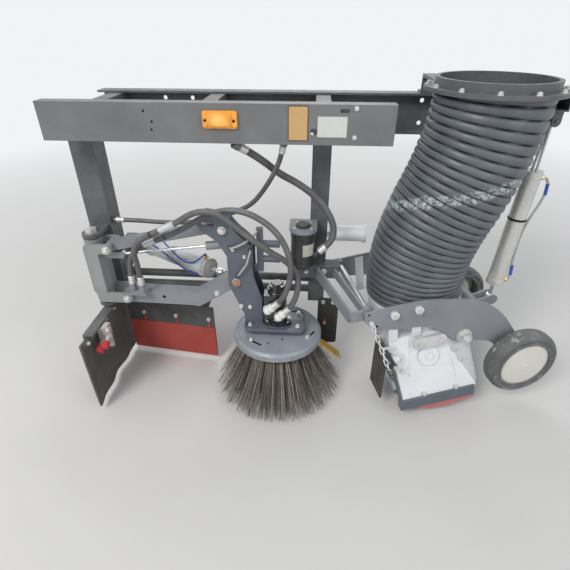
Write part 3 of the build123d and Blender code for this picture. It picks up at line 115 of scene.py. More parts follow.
def node(tree, kind, **values):
    made = tree.nodes.new("ShaderNode" + kind)
    for key, value in values.items():
        setattr(made, key, value)
    return made


def feed(tree, value, socket):
    """Link an output to a socket, or set the socket to a number, vector or colour."""
    if isinstance(value, bpy.types.NodeSocket):
        tree.links.new(value, socket)
    else:
        socket.default_value = (*value, 1.0) if isinstance(value, tuple) else value


def fill(tree, made, values):
    """Feed a node's inputs, by name or number."""
    for key, value in values.items():
        feed(tree, value, made.inputs[key])
    return made


def combine(tree, kind, operation, *values):
    """Math or vector math node, fed with outputs or plain values."""
    return fill(tree, node(tree, kind, operation=operation), dict(enumerate(values)))


def times(tree, first, second):
    return combine(tree, "Math", "MULTIPLY", first, second).outputs[0]


def ramp(tree, *values):
    """Map a value's range low..high to start..end, clamped: value, low, high, start, end."""
    return fill(tree, node(tree, "MapRange"), dict(enumerate(values))).outputs[0]


def noise_of(tree, place, scale, detail=4.0, rough=0.55):
    values = {"Vector": place, "Scale": scale, "Detail": detail, "Roughness": rough}
    return fill(tree, node(tree, "TexNoise"), values).outputs["Fac"]


def blend_colour(tree, factor, first, second):
    return fill(tree, node(tree, "Mix", data_type="RGBA"), {0: factor, 6: first, 7: second}).outputs[2]


def bump_of(tree, height, strength, depth):
    return fill(tree, node(tree, "Bump"), {"Height": height, "Strength": strength, "Distance": depth})


def object_place(tree):
    return node(tree, "TexCoord").outputs["Object"]


def shade(colour, factor):
    return tuple(min(1.0, max(0.0, c * factor)) for c in colour)


def finish_of(name, colour, rough, tone=0.12, dust=0.0, chips=0.0, spots=0.0, metal=0.0,
              tone_scale=6.0, bump=0.1, bump_scale=320.0, swell=0.0, specular=0.5, coat=0.0,
              spread=0.12, dust_colour=(0.42, 0.385, 0.33), chip_colour=(0.6, 0.6, 0.58)):
    """Procedural finish: clouded tone, road dust on what faces up, chips, specks and fine bump.
    """
    material = bpy.data.materials.new(name)
    material.use_nodes = True
    tree = material.node_tree
    shader = tree.nodes["Principled BSDF"]
    place = object_place(tree)
    clouds = ramp(tree, noise_of(tree, place, tone_scale, 6.0, 0.62), 0.3, 0.7)
    paint = blend_colour(tree, clouds, shade(colour, 1 - tone), shade(colour, 1 + tone))
    if spots:
        fleck = ramp(tree, noise_of(tree, place, 90.0, 5.0, 0.7), 0.66, 0.72, 0.0, spots)
        paint = blend_colour(tree, fleck, paint, shade(colour, 0.35))
    if chips:
        edge = ramp(tree, noise_of(tree, place, 42.0, 8.0, 0.75), 0.69, 0.715, 0.0, chips)
        paint = blend_colour(tree, edge, paint, chip_colour)
    if dust:
        normal = fill(tree, node(tree, "SeparateXYZ"), {0: node(tree, "NewGeometry").outputs["Normal"]})
        facing = ramp(tree, normal.outputs[2], -0.35, 1.0, 0.12, 1.0)
        patch = ramp(tree, noise_of(tree, place, 11.0, 7.0, 0.68), 0.36, 0.72)
        paint = blend_colour(tree, times(tree, times(tree, facing, patch), dust), paint, dust_colour)
    smear = noise_of(tree, place, tone_scale * 5.0, 5.0)
    smooth, coarse = max(0.02, rough - spread), min(1.0, rough + spread)
    relief = bump_of(tree, noise_of(tree, place, bump_scale, 3.0), bump, FINE_RELIEF)
    if swell:
        wide = bump_of(tree, noise_of(tree, place, 38.0, 4.0), swell, WIDE_RELIEF)
        tree.links.new(wide.outputs["Normal"], relief.inputs["Normal"])
    fill(tree, shader, {
        "Base Color": paint, "Roughness": ramp(tree, smear, 0.3, 0.7, smooth, coarse), "Metallic": metal,
        "Specular IOR Level": specular, "Normal": relief.outputs["Normal"],
    })
    if coat:
        fill(tree, shader, {"Coat Weight": coat, "Coat Roughness": COAT_ROUGHNESS})
    return material


def under_paint(material):
    """Node tree, colour socket, its present source and the object's coordinates."""
    socket = material.node_tree.nodes["Principled BSDF"].inputs["Base Color"]
    return material.node_tree, socket, socket.links[0].from_socket, object_place(material.node_tree)


# Finishes: name, colour, roughness, tone and dust, then what is special to each

GREY = finish_of("slate_paint", (0.235, 0.25, 0.28), 0.42, 0.1, 0.42, 0.2, 0.22, bump=0.12,
                 dust_colour=(0.42, 0.41, 0.39))
DISC = finish_of("disc_paint", (0.27, 0.31, 0.36), 0.4, 0.12, 0.45, 0.35, 0.3, bump=0.12,
                 dust_colour=(0.44, 0.44, 0.43), chip_colour=(0.2, 0.13, 0.1))
SLATE = finish_of("dark_slate_paint", (0.1, 0.115, 0.15), 0.38, 0.14, 0.3, 0.2, 0.2,
                  dust_colour=(0.34, 0.33, 0.32))
WORN = finish_of("worn_rim_paint", (0.3, 0.33, 0.36), 0.36, 0.18, 0.3, 0.7, 0.4, 0.25, 24.0,
                 chip_colour=(0.5, 0.5, 0.49))
BEAM = finish_of("beam_paint", (0.155, 0.16, 0.165), 0.42, 0.14, 0.3, 0.2, 0.35,
                 dust_colour=(0.36, 0.35, 0.33))
DARK = finish_of("frame_paint", (0.085, 0.092, 0.1), 0.45, 0.2, 0.4, 0.12, 0.3)
BLACK = finish_of("black_paint", (0.03, 0.031, 0.034), 0.42, 0.25, 0.2, 0.08)
PANEL = finish_of("panel_paint", (0.07, 0.07, 0.073), 0.5, 0.2, 0.5, 0.15, 0.3,
                  dust_colour=(0.3, 0.29, 0.27))
BAR = finish_of("bar_paint", (0.1, 0.122, 0.155), 0.42, 0.2, 0.35, 0.3,
                dust_colour=(0.36, 0.36, 0.36))
GLOSS = finish_of("motor_paint", (0.02, 0.02, 0.022), 0.18, 0.3, 0.12, swell=0.5, coat=0.6)
# dark_recess paints near-black shade into holes, slots and recesses
SHADE = finish_of("dark_recess", (0.012, 0.012, 0.013), 0.8, 0.2, specular=0.2)
SILVER = finish_of("silver_casting_paint", (0.79, 0.81, 0.83), 0.36, 0.05, 0.12, 0.0, 0.2,
                   0.05, swell=0.3, bump=0.22, bump_scale=420.0, dust_colour=(0.5, 0.48, 0.45))
BRIGHT = finish_of("bright_plate", (0.6, 0.605, 0.59), 0.36, 0.1, 0.15, 0.0, 0.0, 0.1, 16.0,
                   bump=0.12)
CAST = finish_of("light_casting", (0.292, 0.309, 0.309), 0.5, 0.12, 0.3, metal=0.1, swell=0.7,
                 bump=0.4)
ZINC = finish_of("zinc_plate", (0.66, 0.66, 0.64), 0.34, 0.12, 0.12, metal=0.5, tone_scale=30.0)
COPPER = finish_of("copper_grease_bolt", (0.5, 0.27, 0.14), 0.38, 0.2, 0.1, metal=0.7,
                   tone_scale=40.0)
BRASS = finish_of("brass_fitting", (0.62, 0.43, 0.2), 0.36, 0.15, metal=0.9, tone_scale=30.0)
SLEEVE = finish_of("knurled_sleeve", (0.62, 0.64, 0.66), 0.36, 0.12, 0.1, metal=0.55, tone_scale=60.0)
CHROME = finish_of("chrome_plate", (0.78, 0.79, 0.8), 0.28, 0.03, metal=0.9, bump=0.0,
                   spread=0.04)
ALU = finish_of("alu_tube", (0.8, 0.82, 0.83), 0.34, 0.05, 0.08, metal=0.2, tone_scale=10.0,
                bump=0.04, spread=0.05)
CREAM = finish_of("cream_paint", (0.64, 0.635, 0.59), 0.3, 0.06, 0.1, 0.12, metal=0.25,
                  chip_colour=(0.3, 0.28, 0.24))
RUBBER = finish_of("black_rubber", (0.045, 0.045, 0.046), 0.7, 0.2, 0.45, bump=0.3,
                   specular=0.3)
FLAP = finish_of("dusty_flap_rubber", (0.09, 0.088, 0.083), 0.75, 0.25, 0.7, bump=0.35,
                 swell=0.4, specular=0.25, dust_colour=(0.26, 0.25, 0.23))
RED = finish_of("red_rubber", (0.4, 0.062, 0.05), 0.6, 0.1, 0.16, spots=0.3, bump=0.3,
                specular=0.35)
PINK = finish_of("worn_red_rubber", (0.56, 0.16, 0.17), 0.65, 0.2, 0.5, tone_scale=16.0,
                 bump=0.4, dust_colour=(0.52, 0.42, 0.4))
LINE = finish_of("hydraulic_hose", (0.10, 0.10, 0.105), 0.5, 0.2, 0.6, tone_scale=20.0,
                 bump=0.35, bump_scale=600.0, dust_colour=(0.34, 0.33, 0.31))
CORE = finish_of("core_plastic", (0.04, 0.04, 0.042), 0.6, 0.2, 0.35)
CAP = finish_of("cap_plastic", (0.7, 0.68, 0.62), 0.42, 0.05, 0.1, spots=0.15, tone_scale=12.0,
                bump=0.05)
WHITE = finish_of("white_plate", (0.61, 0.624, 0.59), 0.4, 0.05, 0.1, spots=0.3)
WHITE_RIM = finish_of("white_plate_rim", (0.25, 0.26, 0.25), 0.45, 0.1, 0.1)
YELLOW = finish_of("yellow_plate", (0.56, 0.36, 0.15), 0.4, 0.06, 0.12, spots=0.3)
YELLOW_RIM = finish_of("yellow_plate_rim", (0.09, 0.06, 0.035), 0.45, 0.1, 0.1)
LABEL = finish_of("cream_label", (0.55, 0.53, 0.44), 0.5, 0.05, 0.12, spots=0.35)
SPLASH = finish_of("white_splashed_fitting", (0.8, 0.8, 0.79), 0.5, 0.08, chips=0.35, tone_scale=60.0,
                   bump=0.35, chip_colour=(0.12, 0.12, 0.12))
BLUE = finish_of("blue_air_line", (0.03, 0.085, 0.4), 0.35, 0.1, 0.1)
NYLON = finish_of("grey_nylon_line", (0.4, 0.41, 0.42), 0.4, 0.1, 0.15)
KNOB = finish_of("red_cap_plastic", (0.55, 0.05, 0.055), 0.4, 0.08, 0.1)
REDMARK = finish_of("red_plate_paint", (0.42, 0.05, 0.045), 0.45, 0.1, 0.12, 0.2)


# Shape kit

def looking(point, way, spin=0.0):
    """Place with its Z axis along way."""
    way = Vector(way).normalized()
    turn = way.to_track_quat("Z", "Y").to_matrix().to_4x4()
    return Matrix.Translation(point) @ turn @ Matrix.Rotation(math.radians(spin), 4, "Z")


def angles(count, shift=0.0):
    """Angles of a full turn in equal steps."""
    return [2 * math.pi * (k + shift) / count for k in range(count)]


def arc(x, y, radius, start, sweep, steps):
    """Points of an arc, its angles in degrees."""
    turns = [math.radians(start + sweep * i / steps) for i in range(steps + 1)]
    return [(x + radius * math.cos(a), y + radius * math.sin(a)) for a in turns]


def rounded(width, tall, radius, steps=5):
    """Outline of a rectangle with round corners."""
    points = []
    for cx, cy, start in ((1, 1, 0), (-1, 1, 90), (-1, -1, 180), (1, -1, 270)):
        points += arc(cx * (width / 2 - radius), cy * (tall / 2 - radius), radius, start, 90, steps)
    return points


def slot_outline(length, width, steps=6):
    """Outline of a slot along the local X axis."""
    reach = length / 2 - width / 2
    return arc(reach, 0, width / 2, -90, 180, steps) + arc(-reach, 0, width / 2, 90, 180, steps)


def bridge(bm, low, high):
    """Faces between two rings, either of which may be a single point."""
    count = max(len(low), len(high))
    for i in range(count):
        j = (i + 1) % count
        if len(low) == 1:
            bm.faces.new((low[0], high[j], high[i]))
        elif len(high) == 1:
            bm.faces.new((low[i], low[j], high[0]))
        else:
            bm.faces.new((low[i], low[j], high[j], high[i]))


def skin(bm, rings):
    """Closed skin over a row of rings."""
    for low, high in zip(rings, rings[1:]):
        bridge(bm, low, high)
    bm.faces.new(list(reversed(rings[0])))
    bm.faces.new(rings[-1])


def lathe(bm, place, profile, sides=32):
    """Solid of (radius, height) points about the place's Z axis, in millimetres."""
    rings = []
    for radius, height in profile:
        turns = angles(sides) if radius else [0.0]
        spots = [Vector((radius * math.cos(a), radius * math.sin(a), height)) for a in turns]
        rings.append([bm.verts.new(place @ (spot * MM)) for spot in spots])
    for low, high in zip(rings, rings[1:]):
        if len(low) + len(high) > 2:
            bridge(bm, low, high)


def prism(bm, place, outline, low, high, chamfer=0.0):
    """Closed plate of an outline in the place's XY plane, with chamfered rims."""
    middle_x = sum(p[0] for p in outline) / len(outline)
    middle_y = sum(p[1] for p in outline) / len(outline)
    centre = Vector((middle_x, middle_y))
    levels = [(low, 0.0), (high, 0.0)]
    if chamfer:
        levels = [(low, chamfer), (low + chamfer, 0.0), (high - chamfer, 0.0), (high, chamfer)]
    rings = []
    for height, inset in levels:
        ring = []
        for point in outline:
            spoke = Vector(point) - centre
            spot = centre + spoke * ((spoke.length - inset) / spoke.length)
            ring.append(bm.verts.new(place @ (Vector((spot.x, spot.y, height)) * MM)))
        rings.append(ring)
    skin(bm, rings)


def spokes(side, other, sides):
    """Unit steps round a line, between two directions across it."""
    return [side * math.cos(a) + other * math.sin(a) for a in angles(sides)]


def sweep_tube(bm, points, radius, sides=14, closed=False):
    """Tube through points in metres; radius in metres, or a function of the share along."""
    count = len(points)
    side = None
    rings = []
    for i, point in enumerate(points):
        before = points[(i - 1) % count] if closed or i else points[0]
        after = points[(i + 1) % count] if closed or i < count - 1 else points[-1]
        way = (after - before).normalized()
        side = side or way.orthogonal().normalized()
        side = (side - way * side.dot(way)).normalized()
        r = radius(i / (count - 1)) if callable(radius) else radius
        rings.append([bm.verts.new(point + spoke * r) for spoke in spokes(side, way.cross(side), sides)])
    if not closed:
        skin(bm, rings)
        return
    for low, high in zip(rings, rings[1:] + rings[:1]):
        bridge(bm, low, high)


def piece(name, bm, material, body, replaced=(), angle=32.0):
    mesh = bpy.data.meshes.new(name)
    bmesh.ops.recalc_face_normals(bm, faces=bm.faces)
    bm.to_mesh(mesh)
    bm.free()
    made = placed(name, mesh)
    mesh.materials.append(material)
    mesh.polygons.foreach_set("use_smooth", [True] * len(mesh.polygons))
    mesh.set_sharp_from_angle(angle=math.radians(angle))
    if body:
        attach(made, body)
    if replaced:
        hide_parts(*replaced)
    return made


def tube(name, body, finish, points, radius, sides, angle=180.0, closed=False, replaced=()):
    """Piece that is one tube: points in metres, radius in millimetres or a function."""
    bm = bmesh.new()
    reach = (lambda share: radius(share) * MM) if callable(radius) else radius * MM
    sweep_tube(bm, points, reach, sides, closed)
    return piece(name, bm, finish, body, replaced, angle)


def spline_points(points):
    """Smooth line of a route, read from the route's NURBS spline."""
    curve = bpy.data.curves.new("route", "CURVE")
    curve.dimensions = "3D"
    curve.resolution_u = 14
    line = curve.splines.new("NURBS")
    line.points.add(len(points) - 1)
    for spot, point in zip(line.points, points):
        spot.co = (*point, 1.0)
    line.order_u = 3
    line.use_endpoint_u = True
    holder = bpy.data.objects.new("route", curve)
    mesh = bpy.data.meshes.new_from_object(holder)
    found = [vertex.co.copy() for vertex in mesh.vertices]
    bpy.data.objects.remove(holder)
    bpy.data.curves.remove(curve)
    bpy.data.meshes.remove(mesh)
    return found


WASHER_THICK = 2.5


def fasteners(name, body, finish, rows):
    """Hex bolts: point, way, size across, head height, washer radius and tip."""
    bm = bmesh.new()
    for point, way, across, head, washer, tip in rows:
        place = looking(point, way, DICE.uniform(0.0, 60.0))
        low = WASHER_THICK if washer else 0.0
        if washer:
            rim = washer - 0.6
            lathe(bm, place, [(0, 0), (rim, 0), (washer, 0.6), (washer, 1.9), (rim, low), (0, low)], 28)
        r, top = across / math.sqrt(3), low + head
        lathe(bm, place, [(0, low), (r, low), (r, low + head * 0.82), (r * 0.86, top), (0, top)], 6)
        crown = low + head * 1.02
        lathe(bm, place, [(0, low), (r * 0.84, low), (r * 0.84, crown), (0, crown)], 24)
        if tip:
            wide, end = across * 0.28, top + tip
            lathe(bm, place, [(0, low), (wide, low), (wide, end - 1.0), (across * 0.22, end), (0, end)], 18)
    return piece(name, bm, finish, body)


def bolts(name, body, way, rows, finish=ZINC, place=at):
    """Hex bolts that face one way: three coordinates, then the sizes that fasteners takes."""
    return fasteners(name, body, finish, [(place(*row[:3]), way, *row[3:]) for row in rows])


def discs(name, body, finish, way, rows, place=at):
    """Low round plugs with a soft rim: three coordinates, radius and height."""
    bm = bmesh.new()
    for a, b, c, radius, height in rows:
        profile = [(0, -1.0), (radius, -1.0), (radius, height * 0.4), (radius * 0.8, height * 0.85)]
        lathe(bm, looking(place(a, b, c), way), profile + [(radius * 0.4, height), (0, height)], 24)
    return piece(name, bm, finish, body)


def pipe(name, body, finish, radius, rows, place=at):
    """Rigid line along a smooth route, clipped on a body."""
    return tube(name, body, finish, spline_points([place(*row) for row in rows]), radius, 12)


def plate_with_rim(name, middle, width, tall, rim, finish, rim_finish):
    """Blank plate on the beam's outer face, with a plain border."""
    for part, shrink, corner, low, high, look in (
        ("_rim", 0.0, 4.0, 0.0, 1.6, rim_finish), ("", 2 * rim, 3.0, 0.5, 2.2, finish),
    ):
        bm = bmesh.new()
        prism(bm, looking(middle, OUT), rounded(width - shrink, tall - shrink, corner), low, high, 0.4)
        piece(name + part, bm, look, "carrier")


def collar(inner, outer, low, high, edge=1.0, lip=1.2):
    """Profile of a band with chamfered edges."""
    rim = outer - edge
    return [(inner, low), (rim, low), (outer, low + lip), (outer, high - lip), (rim, high), (inner, high)]


def rings_along(name, body, finish, start, end, rows, sides=48):
    """Collars about an axis: start and end along it, inner and outer radius."""
    bm = bmesh.new()
    for low, high, inner, outer in rows:
        lathe(bm, looking(start, end - start), collar(inner, outer, low, high), sides)
    return piece(name, bm, finish, body)


def slot_plates(name, body, finish, rows, up, high):
    """Thin capsule patches on a surface that looks along up: start, end and width."""
    bm = bmesh.new()
    for *ends, width in rows:
        start, end = at(*ends[:3]), at(*ends[3:])
        run = end - start
        turn = Matrix((run.normalized(), up.cross(run).normalized(), up)).transposed().to_4x4()
        place = Matrix.Translation((start + end) / 2) @ turn
        prism(bm, place, slot_outline(run.length / MM + width, width), -1.0, high, min(0.4, high / 2))
    return piece(name, bm, finish, body)


def rubber_sheet(name, body, finish, old, columns, rows, spot):
    """Closed sheet: spot gives the point for a side, a share across and a share down."""
    bm = bmesh.new()
    back, front = [[
        [bm.verts.new(spot(side, i / columns, j / rows)) for j in range(rows + 1)] for i in range(columns + 1)
    ] for side in (0, 1)]
    for grid in (back, front):
        for i in range(columns):
            for j in range(rows):
                bm.faces.new((grid[i][j], grid[i + 1][j], grid[i + 1][j + 1], grid[i][j + 1]))
    rim = [(i, 0) for i in range(columns)] + [(columns, j) for j in range(rows)]
    rim += [(i, rows) for i in range(columns, 0, -1)] + [(0, j) for j in range(rows, 0, -1)]
    for (i, j), (k, m) in zip(rim, rim[1:] + rim[:1]):
        bm.faces.new((back[i][j], back[k][m], front[k][m], front[i][j]))
    return piece(name, bm, finish, body, (old,), angle=40.0)


# CAD nodes: finish and softened edges

LOOKS = {
    GREY: ("broom_arm", "broom_link", "outer_side_plate", "inner_side_plate", "steady_barrel", "drawbar",
           "cross_shaft"),
    DISC: ("guard_disc",),
    SLATE: ("head_plates", "head_deck", "head_upright"),
    BEAM: ("side_beam",),
    DARK: ("inner_rail", "cross_arms", "front_post", "hanging_post", "stretcher_tubes", "flap_bracket",
           "hose_flange", "lift_hanger"),
    BLACK: ("filter", "guard_plate"),
    PANEL: ("deflector_plate",),
    BAR: ("skirt_bar",),
    GLOSS: ("broom_motor",),
    SILVER: ("nozzle_hopper", "nozzle_hangers"),
    CAST: ("swing_knuckle",),
    ZINC: ("swing_pin", "hinge_pin", "couplings", "arm_pins", "link_pins", "swing_yoke", "wheel_axles",
           "nozzle_pivot_bolts"),
    CHROME: ("swing_rod", "steady_rod", "lift_rod"),
    ALU: ("air_cylinder", "swing_barrel"),
    CREAM: ("lift_barrel",),
    RUBBER: ("nozzle_flap",),
    RED: ("deflector_rubber",),
    CORE: ("brush_core",),
    CAP: ("outer_hub", "inner_hub"),
}
for finish, names in LOOKS.items():
    for name in names:
        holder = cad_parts[name]
        holder.data.materials.clear()
        holder.data.materials.append(finish)

BEVELS = {
    8.0: ("nozzle_hopper",),
    4.0: ("broom_arm",),
    3.0: ("broom_link", "side_beam", "front_post", "hanging_post", "swing_knuckle", "inner_rail"),
    2.5: ("cross_arms",),
    2.0: ("head_plates",),
    1.6: ("head_deck", "outer_side_plate", "inner_side_plate", "drawbar", "head_upright"),
    1.5: ("skirt_bar", "deflector_rubber", "lift_hanger", "nozzle_flap"),
    1.2: ("cross_shaft", "guard_plate", "flap_bracket"),
    0.8: ("deflector_plate",),
}


def soften(holder, wide):
    """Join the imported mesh's faces, round its edges and even out its shading."""
    flat = {"decimate_type": "DISSOLVE", "angle_limit": math.radians(0.6)}
    soft = {"width": wide * MM, "segments": 3, "limit_method": "ANGLE", "angle_limit": math.radians(38.0),
            "use_clamp_overlap": True}
    for name, kind, values in (
        ("joined", "WELD", {"merge_threshold": 2e-5}), ("flat_faces", "DECIMATE", flat),
        ("soft_edge", "BEVEL", soft), ("even_shade", "WEIGHTED_NORMAL", {"weight": 60}),
    ):
        made = holder.modifiers.new(name, kind)
        for key, value in values.items():
            setattr(made, key, value)


for wide, names in BEVELS.items():
    for name in names:
        soften(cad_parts[name], wide)


# Hydraulic and air hoses, along the routes of the part's source

LOWER_HOSE = [at(*row) for row in (
    (-140, 632, 455), (-104, 641, 492), (-80, 652, 562), (-68, 657, 645), (-92, 649, 735), (-155, 630, 803),
    (-255, 610, 843), (-360, 600, 822), (-470, 597, 752), (-575, 586, 702), (-665, 572, 660),
    (-712, 566, 588), (-712, 566, 500),
)]
UPPER_HOSE = [at(*row) for row in (
    (-98, 632, 428), (-68, 636, 462), (-46, 636, 528), (-46, 630, 600), (-88, 624, 652), (-158, 620, 690),
    (-238, 624, 752), (-300, 631, 812), (-350, 636, 842), (-410, 636, 836), (-480, 631, 790),
    (-560, 625, 752), (-634, 616, 710), (-666, 604, 655), (-668, 582, 590), (-668, 582, 505),
)]
FILTER_HOSE = [at(*row) for row in (
    (-253, 548, 1039), (-192, 500, 988), (-130, 446, 918), (-52, 432, 874), (22, 430, 816), (68, 432, 750),
    (86, 437, 692), (74, 445, 642), (30, 452, 607),
)]
FEED_HOSE = [at(*row) for row in (
    (-105, 548, 1046), (-116, 524, 997), (-138, 507, 943), (-178, 478, 871), (-233, 446, 796),
    (-300, 428, 757), (-395, 425, 722), (-505, 422, 702), (-615, 427, 703), (-705, 425, 708),
    (-790, 425, 708),
)]


def ferrule(name, end, beyond, radius, body):
    """Crimped sleeve of a hose end, from the fitting along the hose."""
    bm = bmesh.new()
    profile = [(0.0, -1.0), (radius, -1.0)]
    for start in (4.0, 12.0, 20.0):
        groove = radius - 0.9
        profile += [(radius, start), (groove, start + 1.5), (groove, start + 4.0), (radius, start + 5.5)]
    profile += [(radius, 31.0), (radius - 1.6, 33.0), (0.0, 33.0)]
    lathe(bm, looking(end, beyond - end), profile, 24)
    return piece(name, bm, ZINC, body, angle=30.0)


def free_hose(node_name, route, radius, ends, sleeves=()):
    """Flexible hose on its spline, with the crimped sleeves that ride on it."""
    line = spline_points(route)
    first, last = ends
    with_pieces = [
        ferrule(node_name + "_ferrule_a", line[0], line[3], radius + 2.6, first),
        ferrule(node_name + "_ferrule_b", line[-1], line[-4], radius + 2.6, last),
    ]
    for number, (start, stop, extra, finish) in enumerate(sleeves):
        part = line[round(start * len(line)):round(stop * len(line))]
        name = node_name + "_sleeve_%d" % number
        with_pieces.append(tube(name, "broom_arm_body", finish, part, radius + extra, 24, angle=60.0))
    split = first != last
    hose = tube(node_name + "_line", None if split else first, LINE, line, radius, 20, replaced=(node_name,))
    if split:
        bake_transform(hose)


free_hose("motor_hose_lower", LOWER_HOSE, 11.0, ("broom_head", "broom_arm_body"),
          ((0.775, 0.83, 1.2, SLEEVE), (0.73, 0.745, 1.0, BLACK)))
free_hose("motor_hose_upper", UPPER_HOSE, 11.0, ("broom_head", "broom_arm_body"),
          ((0.675, 0.735, 2.2, SLEEVE), (0.757, 0.77, 1.0, BLACK)))
free_hose("filter_hose", FILTER_HOSE, 13.0, ("carrier", "carrier"))
free_hose("feed_hose", FEED_HOSE, 9.0, ("carrier", "carrier"))


# Suction hose: ribbed wall wound in a spiral, its ribs closer towards the nozzle

HOSE_ROUTE = (
    unit(258, 201, -60), unit(258, 201, 105), at(HOSE_X, HOSE_OUT, 1030), at(HOSE_X, HOSE_OUT, 1200),
)
HOSE_R = 190.0
HOSE_BORE_R = 177.0
PITCH_TOP, PITCH_LOW = 35.0, 18.0
GROOVE_TOP, GROOVE_LOW = 12.5, 6.5
RIB_STEPS = 12
HOSE_SIDES = 112
BAND_POINT = at(470.0, 610.0, 900.0)
BAND_WAY = Vector((-0.24, 0.25, 0.94)).normalized()


def along(points, distances):
    """Points at the given distances along a dense line."""
    found = []
    index = 0
    walked = 0.0
    for distance in distances:
        run = (points[index + 1] - points[index]).length
        while walked + run < distance and index < len(points) - 2:
            walked += run
            index += 1
            run = (points[index + 1] - points[index]).length
        found.append(points[index].lerp(points[index + 1], min(1.0, (distance - walked) / run)))
    return found


def make_hose():
    """Hose wall with half-round ribs outside and a plain bore; crest tells rib from groove, and masks the
    painted shade in the grooves.
    """
    dense = spline_points(HOSE_ROUTE)
    length = sum((b - a).length for a, b in zip(dense, dense[1:]))
    distances = [0.0]
    while distances[-1] < length:
        share = distances[-1] / length
        pitch = PITCH_LOW + (PITCH_TOP - PITCH_LOW) * share ** 0.8
        distances.append(distances[-1] + pitch * MM / RIB_STEPS)
    distances[-1] = length
    line = along(dense, distances)
    bm = bmesh.new()
    crest = bm.verts.layers.float.new("crest")
    side = Vector((0.0, 1.0, 0.0))
    rings, bores = [], []
    last = len(line) - 1
    for i, point in enumerate(line):
        way = (line[min(i + 1, last)] - line[max(i - 1, 0)]).normalized()
        side = (side - way * side.dot(way)).normalized()
        depth = GROOVE_LOW + (GROOVE_TOP - GROOVE_LOW) * distances[i] / length
        round_line = spokes(side, way.cross(side), HOSE_SIDES)
        ring = []
        for k, spoke in enumerate(round_line):
            phase = (i / RIB_STEPS + k / HOSE_SIDES) % 1.0
            rise = math.sqrt(max(0.0, 1.0 - (2.0 * phase - 1.0) ** 2))
            vertex = bm.verts.new(point + spoke * (HOSE_R - depth * (1.0 - rise)) * MM)
            vertex[crest] = rise
            ring.append(vertex)
        rings.append(ring)
        if i % 8 == 0 or i == last:
            bores.append([bm.verts.new(point + spoke * HOSE_BORE_R * MM) for spoke in round_line])
    walls = list(zip(rings, rings[1:])) + list(zip(bores[1:], bores))
    for low, high in walls + [(bores[0], rings[0]), (rings[-1], bores[-1])]:
        bridge(bm, low, high)
    return piece("ribbed_hose", bm, HOSE, None, ("suction_hose",), angle=60.0)


def hose_finish():
    """Grey rubber with painted shade in the grooves between its ribs, and a scuffed light band across its
    front.
    """
    material = finish_of("hose_rubber", (0.1, 0.115, 0.135), 0.44, 0.2, 0.3, spots=0.35,
                         tone_scale=9.0, bump=0.35, bump_scale=260.0, swell=0.3,
                         dust_colour=(0.33, 0.34, 0.35))
    tree, socket, base, place = under_paint(material)
    crest = ramp(tree, node(tree, "Attribute", attribute_name="crest").outputs["Fac"], 0.25, 0.8)
    # Painted shade: the grooves between the ribs are darkened to near black, and the crests keep the rubber's
    # colour
    base = blend_colour(tree, crest, (0.012, 0.013, 0.015), base)
    spot = combine(tree, "VectorMath", "SUBTRACT", place, BAND_POINT).outputs[0]
    across = combine(tree, "VectorMath", "DOT_PRODUCT", spot, BAND_WAY).outputs["Value"]
    wander = ramp(tree, noise_of(tree, place, 14.0, 3.0), 0.3, 0.7, -0.012, 0.012)
    shifted = combine(tree, "Math", "ADD", across, wander).outputs[0]
    away = combine(tree, "Math", "ABSOLUTE", shifted).outputs[0]
    band = ramp(tree, away, 0.013, 0.024, 1.0, 0.0)
    worn = ramp(tree, noise_of(tree, place, 75.0, 8.0, 0.75), 0.44, 0.56)
    cover = times(tree, times(tree, times(tree, band, worn), crest), 0.9)
    tree.links.new(blend_colour(tree, cover, base, (0.5, 0.58, 0.6)), socket)
    return material


HOSE = hose_finish()
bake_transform(make_hose())


# Brush: wires in rows under the core, with one yellow tuft

BRUSH = at(HEAD_X, HEAD_OUT, 0.0)
CORE_LOW = 250.0
TIP_LEVEL = 27.0
BROWN_REACH, YELLOW_REACH = 268.0, 282.0
BRISTLES = (
    finish_of("bristle_brown", (0.1, 0.078, 0.06), 0.5, 0.4, 0.25, tone_scale=80.0),
    finish_of("bristle_grey", (0.24, 0.21, 0.18), 0.55, 0.35, 0.3, tone_scale=80.0),
    finish_of("bristle_pale", (0.5, 0.45, 0.38), 0.5, 0.3, 0.2, tone_scale=80.0),
)
YELLOW_WIRE = finish_of("bristle_yellow", (0.95, 0.55, 0.04), 0.45, 0.25, tone_scale=60.0)


def wire(bm, spin, ring, splay, wide, curl, tip_level, cap=BROWN_REACH):
    """One flat bristle that leaves the core at a ring and bends outward."""
    radial = Vector((math.cos(spin), math.sin(spin), 0.0))
    across = Vector((-math.sin(spin), math.cos(spin), 0.0))
    drop = CORE_LOW - tip_level
    rows = []
    for share in (0.0, 0.35, 0.7, 1.0):
        reach = ring + math.tan(math.radians(splay)) * drop * (share * (1 - curl) + curl * share * share)
        spot = BRUSH + radial * min(reach, cap) * MM + UP * (CORE_LOW - drop * share) * MM
        half = wide * (1.0 - 0.25 * share) / 2
        corners = (across * half, radial * half * 0.6, across * -half, radial * half * -0.6)
        rows.append([bm.verts.new(spot + corner * MM) for corner in corners])
    skin(bm, rows)


